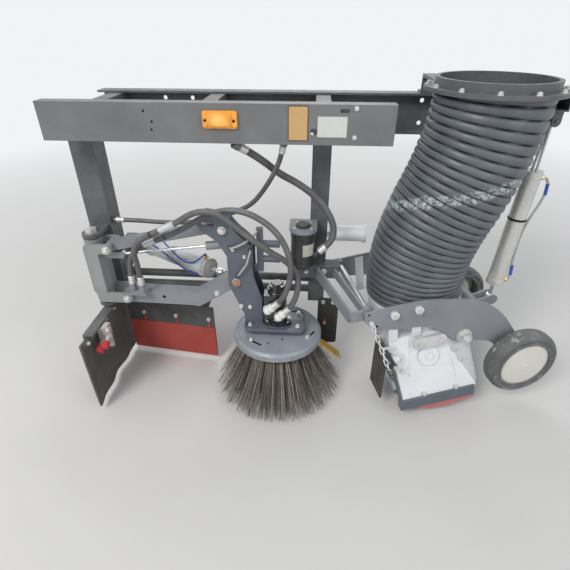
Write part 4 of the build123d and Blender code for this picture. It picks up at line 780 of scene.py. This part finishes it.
def make_bristles():
    shapes = [bmesh.new(), bmesh.new(), bmesh.new()]
    for ring, tufts, splay in ((138.0, 26, 26.0), (120.0, 24, 20.0), (96.0, 18, 13.0)):
        for t in range(tufts):
            middle = 2 * math.pi * (t + DICE.uniform(-0.12, 0.12)) / tufts
            for i in range(30):
                spin = middle + DICE.gauss(0.0, 0.05)
                root = ring + DICE.uniform(-7.0, 7.0)
                lean = splay + 1.5 + DICE.gauss(0.0, 3.0)
                tip = TIP_LEVEL + abs(DICE.gauss(0.0, 8.0))
                pick = DICE.random()
                shape = shapes[0] if pick < 0.5 else shapes[1] if pick < 0.82 else shapes[2]
                wire(shape, spin, root, lean, DICE.uniform(1.6, 2.6), DICE.uniform(0.0, 0.4), tip)
    for name, bm, finish in zip(("bristles_brown", "bristles_grey", "bristles_pale"), shapes, BRISTLES):
        piece(name, bm, finish, "brush", angle=180.0)
    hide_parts("brush_bristles")
    bm = bmesh.new()
    for i in range(60):
        spin = math.radians(12.0) + DICE.gauss(0.0, 0.07)
        lean = 45.0 + DICE.gauss(0.0, 2.0)
        tip = 112.0 + abs(DICE.gauss(0.0, 8.0))
        wire(bm, spin, 144.0 + DICE.uniform(-4.0, 4.0), lean, 3.0, 0.05, tip, YELLOW_REACH)
    piece("bristles_yellow", bm, YELLOW_WIRE, "brush", angle=180.0)


make_bristles()


# Tyres: rounded shoulders, sidewall steps and a scuffed tread

def tyre_finish():
    """Dusty rubber with pale green scuffs."""
    material = finish_of("tyre_rubber", (0.115, 0.118, 0.12), 0.62, 0.25, 0.6, tone_scale=12.0,
                         bump=0.45, bump_scale=200.0, swell=0.4, specular=0.3, dust_colour=(0.32, 0.32, 0.31))
    tree, socket, base, place = under_paint(material)
    scuff = ramp(tree, noise_of(tree, place, 22.0, 8.0, 0.7), 0.575, 0.635, 0.0, 0.75)
    tree.links.new(blend_colour(tree, scuff, base, (0.45, 0.5, 0.47)), socket)
    return material


TYRE = tyre_finish()
HALF_TREAD = (
    (103.2, 37.0), (109.0, 37.0), (113.0, 34.5), (121.0, 34.5), (125.0, 36.6), (130.0, 36.0), (138.0, 30.0),
    (143.5, 21.0), (145.8, 11.0), (145.8, 4.0), (144.6, 3.0),
)
for name, side, middle, body, old in (
    ("outer_tyre_tread", -1, -61.0, "outer_wheel", "outer_tyre"),
    ("inner_tyre_tread", 1, 463.0, "inner_wheel", "inner_tyre"),
):
    bm = bmesh.new()
    profile = [*HALF_TREAD, *((r, -z) for r, z in reversed(HALF_TREAD)), HALF_TREAD[0]]
    lathe(bm, looking(unit(611.0, middle, -346.0), unit_way(0, side, 0)), profile, 96)
    bmesh.ops.remove_doubles(bm, verts=bm.verts, dist=1e-6)
    piece(name, bm, TYRE, body, (old,), angle=28.0)


# Side beam: marker lamp, blank plates, bolts, and near-black discs of painted shade for holes

BULB = at(-306, 600, 1130)


def amber_finish():
    """Amber lens with a painted glow: its colour is brighter about the bulb."""
    material = finish_of("amber_lens", (0.83, 0.356, 0.032), 0.22, 0.15, 0.06, tone_scale=30.0,
                         coat=0.5)
    tree, socket, base, place = under_paint(material)
    away = combine(tree, "VectorMath", "DISTANCE", place, BULB).outputs["Value"]
    # Painted glow: the lens colour lightens towards the bulb, and a weak emission covers the whole lens
    glow = times(tree, ramp(tree, away, 0.008, 0.03, 1.0, 0.0), 0.75)
    tree.links.new(blend_colour(tree, glow, base, (1.0, 0.62, 0.2)), socket)
    fill(tree, tree.nodes["Principled BSDF"], {"Emission Color": (1.0, 0.35, 0.02), "Emission Strength": 0.1})
    return material


AMBER = amber_finish()


def make_lamp():
    """Ribbed amber lens on its base, with a near-black disc of painted shade for the sunk screw at each end.
    """
    place = looking(at(-303.0, BEAM_FACE, 1128.0), OUT)
    bm = bmesh.new()
    prism(bm, place, rounded(112.0, 54.0, 9.0), 0.0, 7.0, 1.5)
    for step in (-47.0, 47.0):
        shift = place @ Matrix.Translation(Vector((step, 0, 0)) * MM)
        prism(bm, shift, rounded(16.0, 46.0, 6.0), 5.0, 12.0, 3.0)
    for level, wide, tall in ((6.0, 86.0, 50.0), (12.0, 83.0, 46.0), (16.0, 77.0, 40.0), (19.0, 66.0, 31.0)):
        prism(bm, place, rounded(wide, tall, tall * 0.32, 8), level - 3.0, level + 2.0, 1.6)
    lathe(bm, place, [(0, 18.0), (13.0, 18.0), (11.5, 21.0), (6.5, 22.6), (0, 23.0)], 32)
    piece("marker_lamp_lens", bm, AMBER, "carrier", ("marker_lamp",), angle=35.0)
    screw_face = BEAM_FACE + 12
    # Painted shade: near-black discs stand for the recesses of the sunk screws
    discs("marker_lamp_screw_shade", "carrier", SHADE, OUT,
          [(-348.9, screw_face, 1126.8, 4.5, 1.5), (-258.0, screw_face, 1126.0, 4.5, 1.5)])


make_lamp()
plate_with_rim("yellow_plate", at(-57, BEAM_FACE, 1119), 64, 106, 3.0, YELLOW, YELLOW_RIM)
plate_with_rim("white_plate", at(50, BEAM_FACE, 1110), 96, 66, 2.5, WHITE, WHITE_RIM)
discs("beam_bolts", "carrier", ZINC, OUT, [(121.5, BEAM_FACE, height, 8.0, 5.0) for height in (1079, 1165)])
# Painted shade: near-black discs stand for the beam's small holes
discs("beam_hole_shade", "carrier", SHADE, OUT,
      [(x, BEAM_FACE, height, 3.8, 1.0) for x, height in ((-547, 1151), (-524, 1119), (-529, 1094))])
fasteners("hose_gland_nuts", "carrier", BRASS, [
    (at(-253, 548, 1054), FILTER_HOSE[1] - FILTER_HOSE[0], 34, 11, 0, 0),
    (at(-105, 548, 1054), FEED_HOSE[1] - FEED_HOSE[0], 27, 8, 0, 0),
])


# Arm, link and head: pin bolts, light pipes and plugs

bolts("arm_bolts", "broom_arm_body", OUT, [(-373, 560, 460, 17, 8, 12, 4)])
bolts("arm_tip_bolt", "broom_head", OUT, [(-288, PIN_FACE, 528, 24, 9, 0, 3)], COPPER)
bolts("link_tip_bolt", "broom_head", OUT, [(-328, PIN_FACE, 747, 22, 9, 0, 3)])
bolts("root_bolts", "swing_knuckle_body", OUT,
      [(-740, PIN_FACE, 430, 22, 9, 0, 3), (-780, PIN_FACE, 649, 22, 9, 0, 3)])
bolts("head_plate_bolts", "broom_head", OUT, [
    (-274, 578, 415, 14, 6, 9, 2), (-238, 578, 412, 14, 6, 9, 2), (-250, 578, 640, 12, 5, 8, 0),
    (-292, 585, 672, 12, 5, 0, 2),
])
pipe("head_line_top", "broom_head", NYLON, 4.2, (
    (-304, 576, 677), (-303, 588, 678), (-288, 594, 683), (-262, 594, 695), (-239, 590, 707),
    (-212, 572, 726), (-203, 556, 732), (-203, 545, 733),
))
pipe("head_line_side", "broom_head", NYLON, 4.2, (
    (-227, 574, 672), (-225, 588, 669), (-228, 594, 660), (-234, 594, 640), (-240, 594, 618),
    (-256, 594, 594), (-272, 593, 570), (-279, 586, 560), (-281, 575, 557),
))
discs("head_line_clips", "broom_head", BLACK, OUT,
      [(-304, 578, 677, 8.0, 8.0), (-227, 578, 671, 8.0, 8.0), (-281, 578, 557, 8.0, 8.0)])


# Guard disc, deck and motor

# Painted shade: thin near-black patches stand for the guard disc's slots and holes
slot_plates("disc_slot_shade", "broom_head", SHADE, [
    (-220, 661, DISC_TOP, -188, 680, DISC_TOP, 9.0), (9, 602, DISC_TOP, 22, 582, DISC_TOP, 9.0),
], UP, 0.3)
bolts("disc_bolts", "broom_head", UP,
      [(-229, 651, DISC_TOP, 13, 6, 9, 3), (-4.6, 621, DISC_TOP, 13, 6, 9, 3)])
discs("disc_hole_shade", "broom_head", SHADE, UP,
      [(-105, 640, DISC_TOP, 5.0, 0.4), (-160, 668, DISC_TOP, 4.0, 0.4)])
for name, radius, thick, height, finish in (
    ("disc_bead", 166.0, 1.6, DISC_TOP, DISC), ("disc_rim_bead", 180.0, 1.8, 271.5, WORN),
):
    bead = [at(HEAD_X + radius * math.cos(a), HEAD_OUT + radius * math.sin(a), height) for a in angles(96)]
    tube(name, "broom_head", finish, bead, thick, 10, closed=True)
rings_along("disc_wear_band", "broom_head", WORN, at(HEAD_X, HEAD_OUT, 274), at(HEAD_X, HEAD_OUT, 296),
            [(0, 19.5, 179.2, 180.8)], 96)
DECK_X, DECK_OUT = -140.0, 555.0
lip = [at(DECK_X + x, DECK_OUT + out, DECK_TOP + 1.5) for x, out in rounded(239.0, 141.0, 26.0, 8)]
tube("deck_lip", "broom_head", SLATE, lip, 4.0, 12, closed=True)
bolts("deck_bolts", "broom_head", UP, [
    (HEAD_X + x, HEAD_OUT + out, DECK_TOP, 13, 7, 10, 3) for out in (30, -60) for x in (-110, 85)
])


def motor_trim():
    """Bands and screws on the motor."""
    axis = Matrix.Translation(at(HEAD_X, HEAD_OUT, 0))
    bm = bmesh.new()
    for low, high, extra in ((350.0, 366.0, 1.6), (384.0, 388.0, 1.2), (478.0, 492.0, 1.6)):
        lathe(bm, axis, collar(36.0, 38.0 + extra, low, high, 0.8, 1.0), 48)
    lathe(bm, axis, [(0, 514.0), (24.0, 514.0), (24.0, 521.0), (21.0, 524.0), (0, 524.0)], 40)
    piece("motor_bands", bm, GLOSS, "broom_head")
    rows = [(HEAD_X + 47 * side, HEAD_OUT, 348, 15, 8, 0, 2) for side in (-1, 1)]
    for x, out in arc(0, 0, 22 * 1.25, 45, 270, 3):
        rows.append((HEAD_X + x, HEAD_OUT + out, 515, 8, 4, 0, 0))
    bolts("motor_screws", "broom_head", UP, rows)


motor_trim()


def splashed_elbow(name, start, beyond):
    """Paint-splashed wrap over a motor port's elbow."""
    way = (start - beyond).normalized()
    corner = start + way * 36.0 * MM
    stem = Vector((corner.x, -0.608, corner.z))
    line = [stem, stem.lerp(corner, 0.6), corner, corner.lerp(start, 0.3), corner.lerp(start, 0.62), start]
    points = []
    for a, b in zip(line, line[1:]):
        points += [a.lerp(b, share / 4) for share in range(4)]
    points.append(line[-1])
    bm = bmesh.new()

    def lumpy(share):
        return (16.0 + 1.6 * math.sin(17 * share) + 0.8 * math.sin(41 * share)) * MM

    sweep_tube(bm, points, lumpy, 20)
    for vertex in bm.verts:
        vertex.co += Vector([DICE.uniform(-0.5, 0.5) for _ in range(3)]) * MM
    piece(name, bm, SPLASH, "broom_head", angle=180.0)


splashed_elbow("port_elbow_lower", *LOWER_HOSE[:2])
splashed_elbow("port_elbow_upper", *UPPER_HOSE[:2])


# Filter, guard plate, deflector and drawbar

FILTER_AXIS = Matrix.Translation(at(FILTER_X, FILTER_OUT, 0))
FILTER_R = 47.0


def wall_patch(bm, middle, half, low, high, thick):
    """Curved patch on the filter's wall, centred on an angle in degrees."""
    rows = []
    for x, y in arc(0, 0, 1.0, middle - half, 2 * half, 16):
        near, far = FILTER_R - 0.5, FILTER_R + thick
        corners = ((near, low), (far, low), (far, high), (near, high))
        spots = [Vector((x, y, 0.0)) * r + UP * z for r, z in corners]
        rows.append([bm.verts.new(FILTER_AXIS @ (spot * MM)) for spot in spots])
    skin(bm, rows)


def filter_trim():
    bm = bmesh.new()
    for low, high, extra in ((556.0, 560.0, 0.8), (676.0, 696.0, 2.0)):
        lathe(bm, FILTER_AXIS, collar(45.0, FILTER_R + extra, low, high, 0.8, 1.0), 48)
    for k in range(30):
        wall_patch(bm, 12.0 * k, 2.6, 562.0, 592.0, 1.6)
    cap = [(0, 713.0), (26.0, 713.0), (28.0, 716.0), (28.0, 724.0), (24.0, 728.0), (0, 728.0)]
    lathe(bm, FILTER_AXIS, cap, 40)
    piece("filter_bands", bm, BLACK, "carrier")
    bm = bmesh.new()
    wall_patch(bm, -58.0, 30.0, 604.0, 654.0, 0.6)
    piece("filter_label", bm, LABEL, "carrier", angle=60.0)
    cover = [(54.5, -72.0)] + arc(0, 0, 54.5, 0, 180, 24) + [(-54.5, -72.0)]
    bm = bmesh.new()
    prism(bm, FILTER_AXIS @ Matrix.Rotation(math.pi, 4, "X"), cover, -714.8, -699.0, 0.8)
    piece("filter_cover", bm, GREY, "carrier")
    bolts("filter_screws", "carrier", UP, [
        (FILTER_X + 40 * math.cos(a), FILTER_OUT + 40 * math.sin(a), 714, 9, 5, 0, 0)
        for a in (0.6, 2.5, 4.1, 5.5)
    ])


filter_trim()
slot_plates("guard_mark", "carrier", REDMARK, [(70.5, 386, 196, 70.5, 386, 220, 14.0)], OUT, 1.0)
bolts("guard_bolts", "carrier", OUT,
      [(70.5, 387, 207, 12, 6, 0, 2), (60, 386, 320, 14, 7, 10, 2), (104, 386, 320, 14, 7, 10, 2)])
PANEL_WAY = Vector((-0.121, -0.993, 0.0)).normalized()
PANEL_SLOTS = ((-613, 419.6), (-455, 438.9), (-770, 400.4))
slot_plates("deflector_slots", "carrier", REDMARK,
            [(x, out, 192, x, out, 236, 10.0) for x, out in PANEL_SLOTS], PANEL_WAY, 0.8)
bolts("deflector_bolts", "carrier", PANEL_WAY, [(x, out + 0.6, 236, 14, 6, 10, 2) for x, out in PANEL_SLOTS])
bolts("drawbar_bolts", "carrier", OUT, [(54, 440, 509, 17, 8, 12, 4), (-20, 435, 505, 17, 8, 12, 4)])


# Front flap: hanging rubber under a clamping strip, and the couplings beside it

FLAP_INNER, FLAP_OUTER = 372.0, 789.5
FLAP_TOP, FLAP_DROP = 344.5, 316.0
FLAP_FACES = (-865.5, -856.5)


def flap_spot(side, across, share):
    """Point of the flap, which hangs in two shallow waves that grow downward."""
    out = FLAP_INNER + (FLAP_OUTER - FLAP_INNER) * across
    wave = 6.0 * share * math.sin(out * 0.017 + 1.2) + 5.0 * share * share * math.sin(out * 0.041)
    wave *= min(1.0, (out - FLAP_INNER) / 120.0)
    height = FLAP_TOP - FLAP_DROP * share + 2.5 * share * math.sin(out * 0.03)
    return at(FLAP_FACES[side] + wave, out, height)


rubber_sheet("front_flap_sheet", "carrier", FLAP, "front_flap", 26, 22, flap_spot)
strip = bmesh.new()
prism(strip, looking(at(-856, 590, 330), REARWARD), rounded(368.0, 22.0, 3.0), -1.0, 4.0, 0.8)
piece("flap_strip", strip, DARK, "carrier")
bolts("flap_bolts", "carrier", REARWARD, [(-852, out, 330, 13, 6, 9, 2) for out in (430, 510, 590, 670, 750)])


def coupling_caps():
    """Red knurled dust caps on the two couplings."""
    bm = bmesh.new()
    cap = [(0, -1), (13.0, -1), (15.6, 0.5), (15.6, 3), (14.6, 4), (14.6, 27), (12.5, 29), (0, 29)]
    for x, height in ((-828.0, 282.0), (-802.0, 304.0)):
        start, end = at(x, 706, height), at(x, 730, height - 9)
        place = looking(start, end - start)
        lathe(bm, place, cap, 36)
        for a in angles(18):
            spoke = place @ Matrix.Rotation(a, 4, "Z") @ Matrix.Translation(Vector((14.6, 0, 0)) * MM)
            prism(bm, spoke, rounded(2.0, 2.2, 0.6, 2), 5.0, 26.0, 0.4)
    piece("coupling_caps", bm, KNOB, "carrier")


coupling_caps()
bolts("coupling_bolts", "carrier", OUT, [(-800, 684, 342, 12, 5, 8, 0)])


# Swing and lift cylinders

SWING_BASE, SWING_EYE = at(-790, 200, 490), at(-375, 462, 500)
LIFT_TOP, LIFT_EYE = at(791.5, 404.8, 1106), at(755.7, 413.7, 399.3)
SWING_WAY = (SWING_EYE - SWING_BASE).normalized()
LIFT_WAY = (LIFT_EYE - LIFT_TOP).normalized()


def along_swing(distance, out, rise):
    """Point beside the swing cylinder's axis, out to the front and up."""
    side = SWING_WAY.cross(UP).normalized()
    return SWING_BASE + SWING_WAY * distance * MM + side * out * MM + UP * rise * MM


def along_lift(distance, rear, out):
    """Point beside the lift cylinder's axis, to the rear and out."""
    return LIFT_TOP + LIFT_WAY * distance * MM + REARWARD * rear * MM + OUT * out * MM


rings_along("swing_end_caps", "swing_barrel_body", ZINC, SWING_BASE, SWING_EYE,
            [(44, 70, 36, 43.6), (408, 432, 36, 43.6)])
rings_along("swing_label", "swing_barrel_body", LABEL, SWING_BASE, SWING_EYE, [(196, 244, 37.5, 39.5)])
fasteners("swing_ports", "swing_barrel_body", BRASS, [
    (along_swing(86, 0, 38), UP, 17, 12, 0, 0), (along_swing(414, 0, 42), UP, 17, 12, 0, 0),
    (along_swing(438, 0, 0), SWING_WAY, 24, 9, 0, 0),
])
pipe("swing_air_line_a", "swing_barrel_body", BLUE, 3.6, (
    (86, 0, 48), (86, 0, 68), (100, 6, 80), (140, 22, 80), (200, 34, 66), (262, 44, 40), (320, 46, 20),
    (372, 46, 26), (405, 30, 50), (414, 8, 66), (414, 0, 62), (414, 0, 52),
), along_swing)
pipe("swing_air_line_b", "swing_barrel_body", BLUE, 3.6, (
    (60, 30, 30), (70, 44, 44), (110, 50, 50), (180, 50, 36), (250, 50, 10), (320, 48, -16), (372, 44, -26),
    (400, 38, -20), (412, 30, -12),
), along_swing)
discs("swing_elbow", "swing_barrel_body", WHITE, OUT, [(408, 33, -14, 9.0, 12.0)], along_swing)
rings_along("lift_bands", "lift_barrel_body", CREAM, LIFT_TOP, LIFT_EYE,
            [(170, 196, 30, 33.4), (612, 637, 30, 33.4)])
# Painted shade: a thin near-black band stands for the dark line at the barrel's clamp
rings_along("lift_clamp_shade", "lift_barrel_body", SHADE, LIFT_TOP, LIFT_EYE, [(349, 357, 31, 33.6)])
pipe("lift_air_line", "lift_barrel_body", NYLON, 5.0, (
    (192, 28, 8), (192, 44, 8), (206, 58, 8), (240, 66, 6), (290, 62, 2), (350, 48, -4), (420, 38, -6),
    (500, 38, -2), (570, 44, 4), (606, 48, 8), (616, 42, 8), (616, 28, 8),
), along_lift)
for name, port, start, end in (
    ("lift_elbow_top", 192, (213.6, 60, 8), (256.8, 66, 5)),
    ("lift_elbow_low", 616, (594.4, 48, 8), (551.2, 44, 5)),
):
    start, end = along_lift(*start), along_lift(*end)
    tube(name + "_sleeve", "lift_barrel_body", BLUE, [start, start.lerp(end, 0.5), end], 6.2, 16, angle=60.0)
    stub = [along_lift(port, 28, 8), along_lift(port, 40, 8)]
    tube(name, "lift_barrel_body", WHITE, stub, 7.5, 16, angle=60.0)
bolts("lift_ports", "lift_barrel_body", REARWARD,
      [(192, 30, 8, 16, 7, 0, 0), (616, 30, 8, 16, 7, 0, 0)], BRASS, along_lift)


# Nozzle unit: bolt caps, link plate, bosses, skirt rubber and chain

PLATE_BOLTS = ((94.0, -13.0), (188.0, -12.0))
bolts("side_plate_bolts", "suction_arm", UNIT_OUT,
      [(u, -22, w, 19, 8, 0, 3) for u, w in PLATE_BOLTS] + [(382, -36, -193, 26, 8, 0, 4)], place=unit)
bolts("hopper_bolts", "suction_arm", UNIT_OUT, [
    (190, -85.5, -383, 15, 7, 10, 2), (324, -85.5, -383, 15, 7, 10, 2),
    (334.9, -24.3, -235.2, 16, 8, 11, 2), (355.8, -41.4, -277.8, 16, 8, 11, 2),
], place=unit)


def make_link_plate():
    """Bolted bar on two spacers, and a broad washer under it on the hopper's sloped face."""
    tilt = unit_way(0.0, -0.97, 0.24)
    bm = bmesh.new()
    place = looking(unit(233, -26, -168), tilt)
    along_bar = (place.to_3x3().inverted() @ unit_way(1, 0, 0)).to_2d()
    turn = Matrix.Rotation(math.atan2(along_bar.y, along_bar.x), 4, "Z")
    prism(bm, place @ turn, slot_outline(136.0, 46.0, 12), -7.0, 7.0, 1.8)
    for u in (192, 274):
        sweep_tube(bm, [unit(u, -22, -168), unit(u, 2, -174)], 11.0 * MM, 20)
    piece("link_plate_bar", bm, BRIGHT, "suction_arm", ("nozzle_link_plate",))
    rows = [(unit(u, -26, -168) + tilt * 7.0 * MM, tilt, 18, 7, 14, 3) for u in (192, 274)]
    fasteners("link_plate_bolts", "suction_arm", BRIGHT, rows)
    washer = looking(unit(228, -25.4, -238), unit_way(0.0, -0.928, 0.373), 17.0)
    bm = bmesh.new()
    lathe(bm, washer, [(0, -3), (33, -3), (33, 5), (40, 5), (41.5, 6), (41.5, 9.5), (40, 11), (0, 11)], 64)
    lathe(bm, washer, [(0, 10), (16.5, 10), (16.5, 19), (14, 21.5), (0, 21.5)], 6)
    piece("centre_washer", bm, SILVER, "suction_arm")


def make_corner_strip():
    """End of the skirt bar, bent back up the hopper's front edge."""
    bm = bmesh.new()
    rings = []
    for near, far, outer, inner, w in (
        (90.5, 97.2, -97.0, -64.0, -443.0), (91.5, 100.2, -94.0, -58.0, -391.0),
        (78.0, 86.6, -32.0, -2.0, -240.0),
    ):
        corners = ((near, outer), (far, outer), (far, inner), (near, inner))
        rings.append([bm.verts.new(unit(u, v, w)) for u, v in corners])
    skin(bm, rings)
    soften(piece("skirt_bar_wing", bm, BAR, "suction_arm"), 1.5)
    bolts("skirt_bar_wing_bolts", "suction_arm", unit_way(-1.0, 0.0, 0.0),
          [(84.0, -36, -306, 16, 8, 10, 7), (89.5, -60, -366, 16, 8, 10, 7)], BAR, unit)


make_link_plate()
make_corner_strip()
# Painted shade: flat near-black discs stand for the side plate's holes
discs("side_plate_hole_shade", "suction_arm", SHADE, UNIT_OUT,
      [(u, -8, w, 4.6, 0.3) for u, w in ((-2, 7), (26, -52), (183, -26))], unit)
discs("side_plate_bosses", "suction_arm", ZINC, UNIT_OUT,
      [(u, -8, w, 17.0, 14.6) for u, w in PLATE_BOLTS], unit)
rings_along("nozzle_boss", "suction_arm", SILVER, unit(100, -40, -205), unit(62, -40, -205),
            [(0, 34, 9, 15)], 32)
discs("hopper_bosses", "suction_arm", SILVER, UNIT_OUT,
      [(112, -18, -215, 15.0, 14.0), (116, -42, -278, 11.0, 10.0)], unit)
for name, start, end in (
    ("hopper_rib_left", unit(158, 8, -160), unit(138, -50, -305)),
    ("hopper_rib_right", unit(312, -20, -225), unit(328, -66, -345)),
):
    steps = [start.lerp(end, k / 10) for k in range(11)]
    tube(name, "suction_arm", SILVER, steps, lambda share: 3.0 + 4.0 * math.sin(math.pi * share), 16)
discs("flap_pin_nut", "nozzle_flap_body", ZINC, UNIT_OUT, [(62, -103, -184, 9.0, 11.0)], unit)


SKIRT_START, SKIRT_RUN = 173.0, 238.0
SKIRT_TOP, SKIRT_LOW = -426.0, -479.0
SKIRT_FACES = (-77.5, -86.5)


def skirt_spot(side, share, down):
    """Point of the worn skirt under its bar, with a curved lower edge."""
    low = SKIRT_LOW + 16.0 * (2 * share - 1) ** 6 + 1.5 * math.sin(share * 21.0)
    lean = SKIRT_FACES[side] + 2.5 * down * math.sin(share * 9.0 + 0.6)
    return unit(SKIRT_START + SKIRT_RUN * share, lean, SKIRT_TOP + (low - SKIRT_TOP) * down)


rubber_sheet("skirt_sheet", "suction_arm", PINK, "skirt_rubber", 40, 6, skirt_spot)


def make_chain():
    """Round links from the outer plate's nose down to the flap's lever."""
    start, end = Vector((6.0, -24.0, -32.0)), Vector((29.4, -118.0, -171.6))
    way = (end - start).normalized()
    links, bend, wire_r, beyond, overlap = 8, 6.0, 2.3, 5.3, 5.2
    start, end = start - way * beyond, end + way * beyond
    pitch = (end - start).length / links
    half = (pitch + overlap) / 2 - bend
    side = way.cross(Vector((1.0, 0.0, 0.0))).normalized()
    bm = bmesh.new()
    for number in range(links):
        middle = start + way * pitch * (number + 0.5)
        turn = side if number % 2 else way.cross(side)
        ring = [unit(*(middle + way * x + turn * y)) for x, y in slot_outline(2 * (half + bend), 2 * bend, 8)]
        sweep_tube(bm, ring, wire_r * MM, 10, closed=True)
    chain = piece("round_link_chain", bm, ZINC, None, ("flap_chain",), angle=180.0)
    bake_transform(chain)


make_chain()


# Hose flange ring

FLANGE_TOP, FLANGE_BOLT_R = 1212.0, 207.0
FLANGE_SPOTS = arc(HOSE_X, HOSE_OUT, FLANGE_BOLT_R, 15, 330, 11)
bolts("flange_bolts", "carrier", UP, [(x, out, FLANGE_TOP, 14, 7, 10, 2) for x, out in FLANGE_SPOTS])


# Floor, backdrop and light

BACKDROP = (0.88, 0.89, 0.9)
FADE_START, FADE_END = 1.7, 5.0
FLOOR_REACH = 40.0
FLOOR_LEVEL = -ROAD * MM - 0.0005


def seen_rays(tree):
    """One where a camera, glossy or transmission ray looks, else zero."""
    rays = node(tree, "LightPath")
    found = rays.outputs["Is Camera Ray"]
    for name in ("Is Glossy Ray", "Is Transmission Ray"):
        found = combine(tree, "Math", "MAXIMUM", found, rays.outputs[name]).outputs[0]
    return found


def mix_shaders(tree, factor, first, second, end):
    both = fill(tree, node(tree, "MixShader"), {0: factor, 1: first, 2: second})
    tree.links.new(both.outputs[0], tree.nodes[end].inputs["Surface"])


def stage_floor():
    """Pale floor that keeps the shadow near the object and fades to the backdrop further off."""
    finish = finish_of("pale_floor", (0.72, 0.71, 0.69), 0.9, 0.02, tone_scale=2.0, specular=0.1)
    tree = finish.node_tree
    away = combine(tree, "VectorMath", "LENGTH", object_place(tree)).outputs["Value"]
    fade = times(tree, ramp(tree, away, FADE_START, FADE_END), seen_rays(tree))
    glow = fill(tree, node(tree, "Emission"), {"Color": BACKDROP})
    mix_shaders(tree, fade, tree.nodes["Principled BSDF"].outputs[0], glow.outputs[0], "Material Output")
    bm = bmesh.new()
    corners = ((-1, -1), (1, -1), (1, 1), (-1, 1))
    bm.faces.new([bm.verts.new((x * FLOOR_REACH, y * FLOOR_REACH, FLOOR_LEVEL)) for x, y in corners])
    mesh = bpy.data.meshes.new("floor")
    bm.to_mesh(mesh)
    bm.free()
    mesh.materials.append(finish)
    placed("floor", mesh)


def studio_world():
    """Soft sky for the light, and the backdrop's colour where it is seen."""
    world = bpy.data.worlds.new("studio")
    SCENE.world = world
    world.use_nodes = True
    tree = world.node_tree
    sky = fill(tree, tree.nodes["Background"], {"Color": (0.92, 0.95, 1.0), "Strength": 0.46})
    shown = fill(tree, node(tree, "Background"), {"Color": BACKDROP, "Strength": 1.0})
    mix_shaders(tree, seen_rays(tree), sky.outputs[0], shown.outputs[0], "World Output")


def lamp(name, place, aim, size, power, colour=(1.0, 1.0, 1.0)):
    data = bpy.data.lights.new(name, "AREA")
    data.shape = "DISK"
    data.size = size
    data.energy = power
    data.color = colour
    holder = placed(name, data)
    holder.location = place
    holder.rotation_euler = (Vector(aim) - Vector(place)).to_track_quat("-Z", "Y").to_euler()


stage_floor()
studio_world()
lamp("key", (-2.6, -4.2, 3.4), (0.0, -0.5, -0.5), 2.4, 190.0, (1.0, 0.98, 0.95))
lamp("fill", (3.4, -3.4, 1.8), (0.2, -0.5, -0.6), 3.0, 48.0, (0.93, 0.96, 1.0))
lamp("back", (0.0, 3.4, 3.2), (0.0, -0.3, -0.4), 3.0, 60.0)

SCENE.view_settings.view_transform = "Standard"
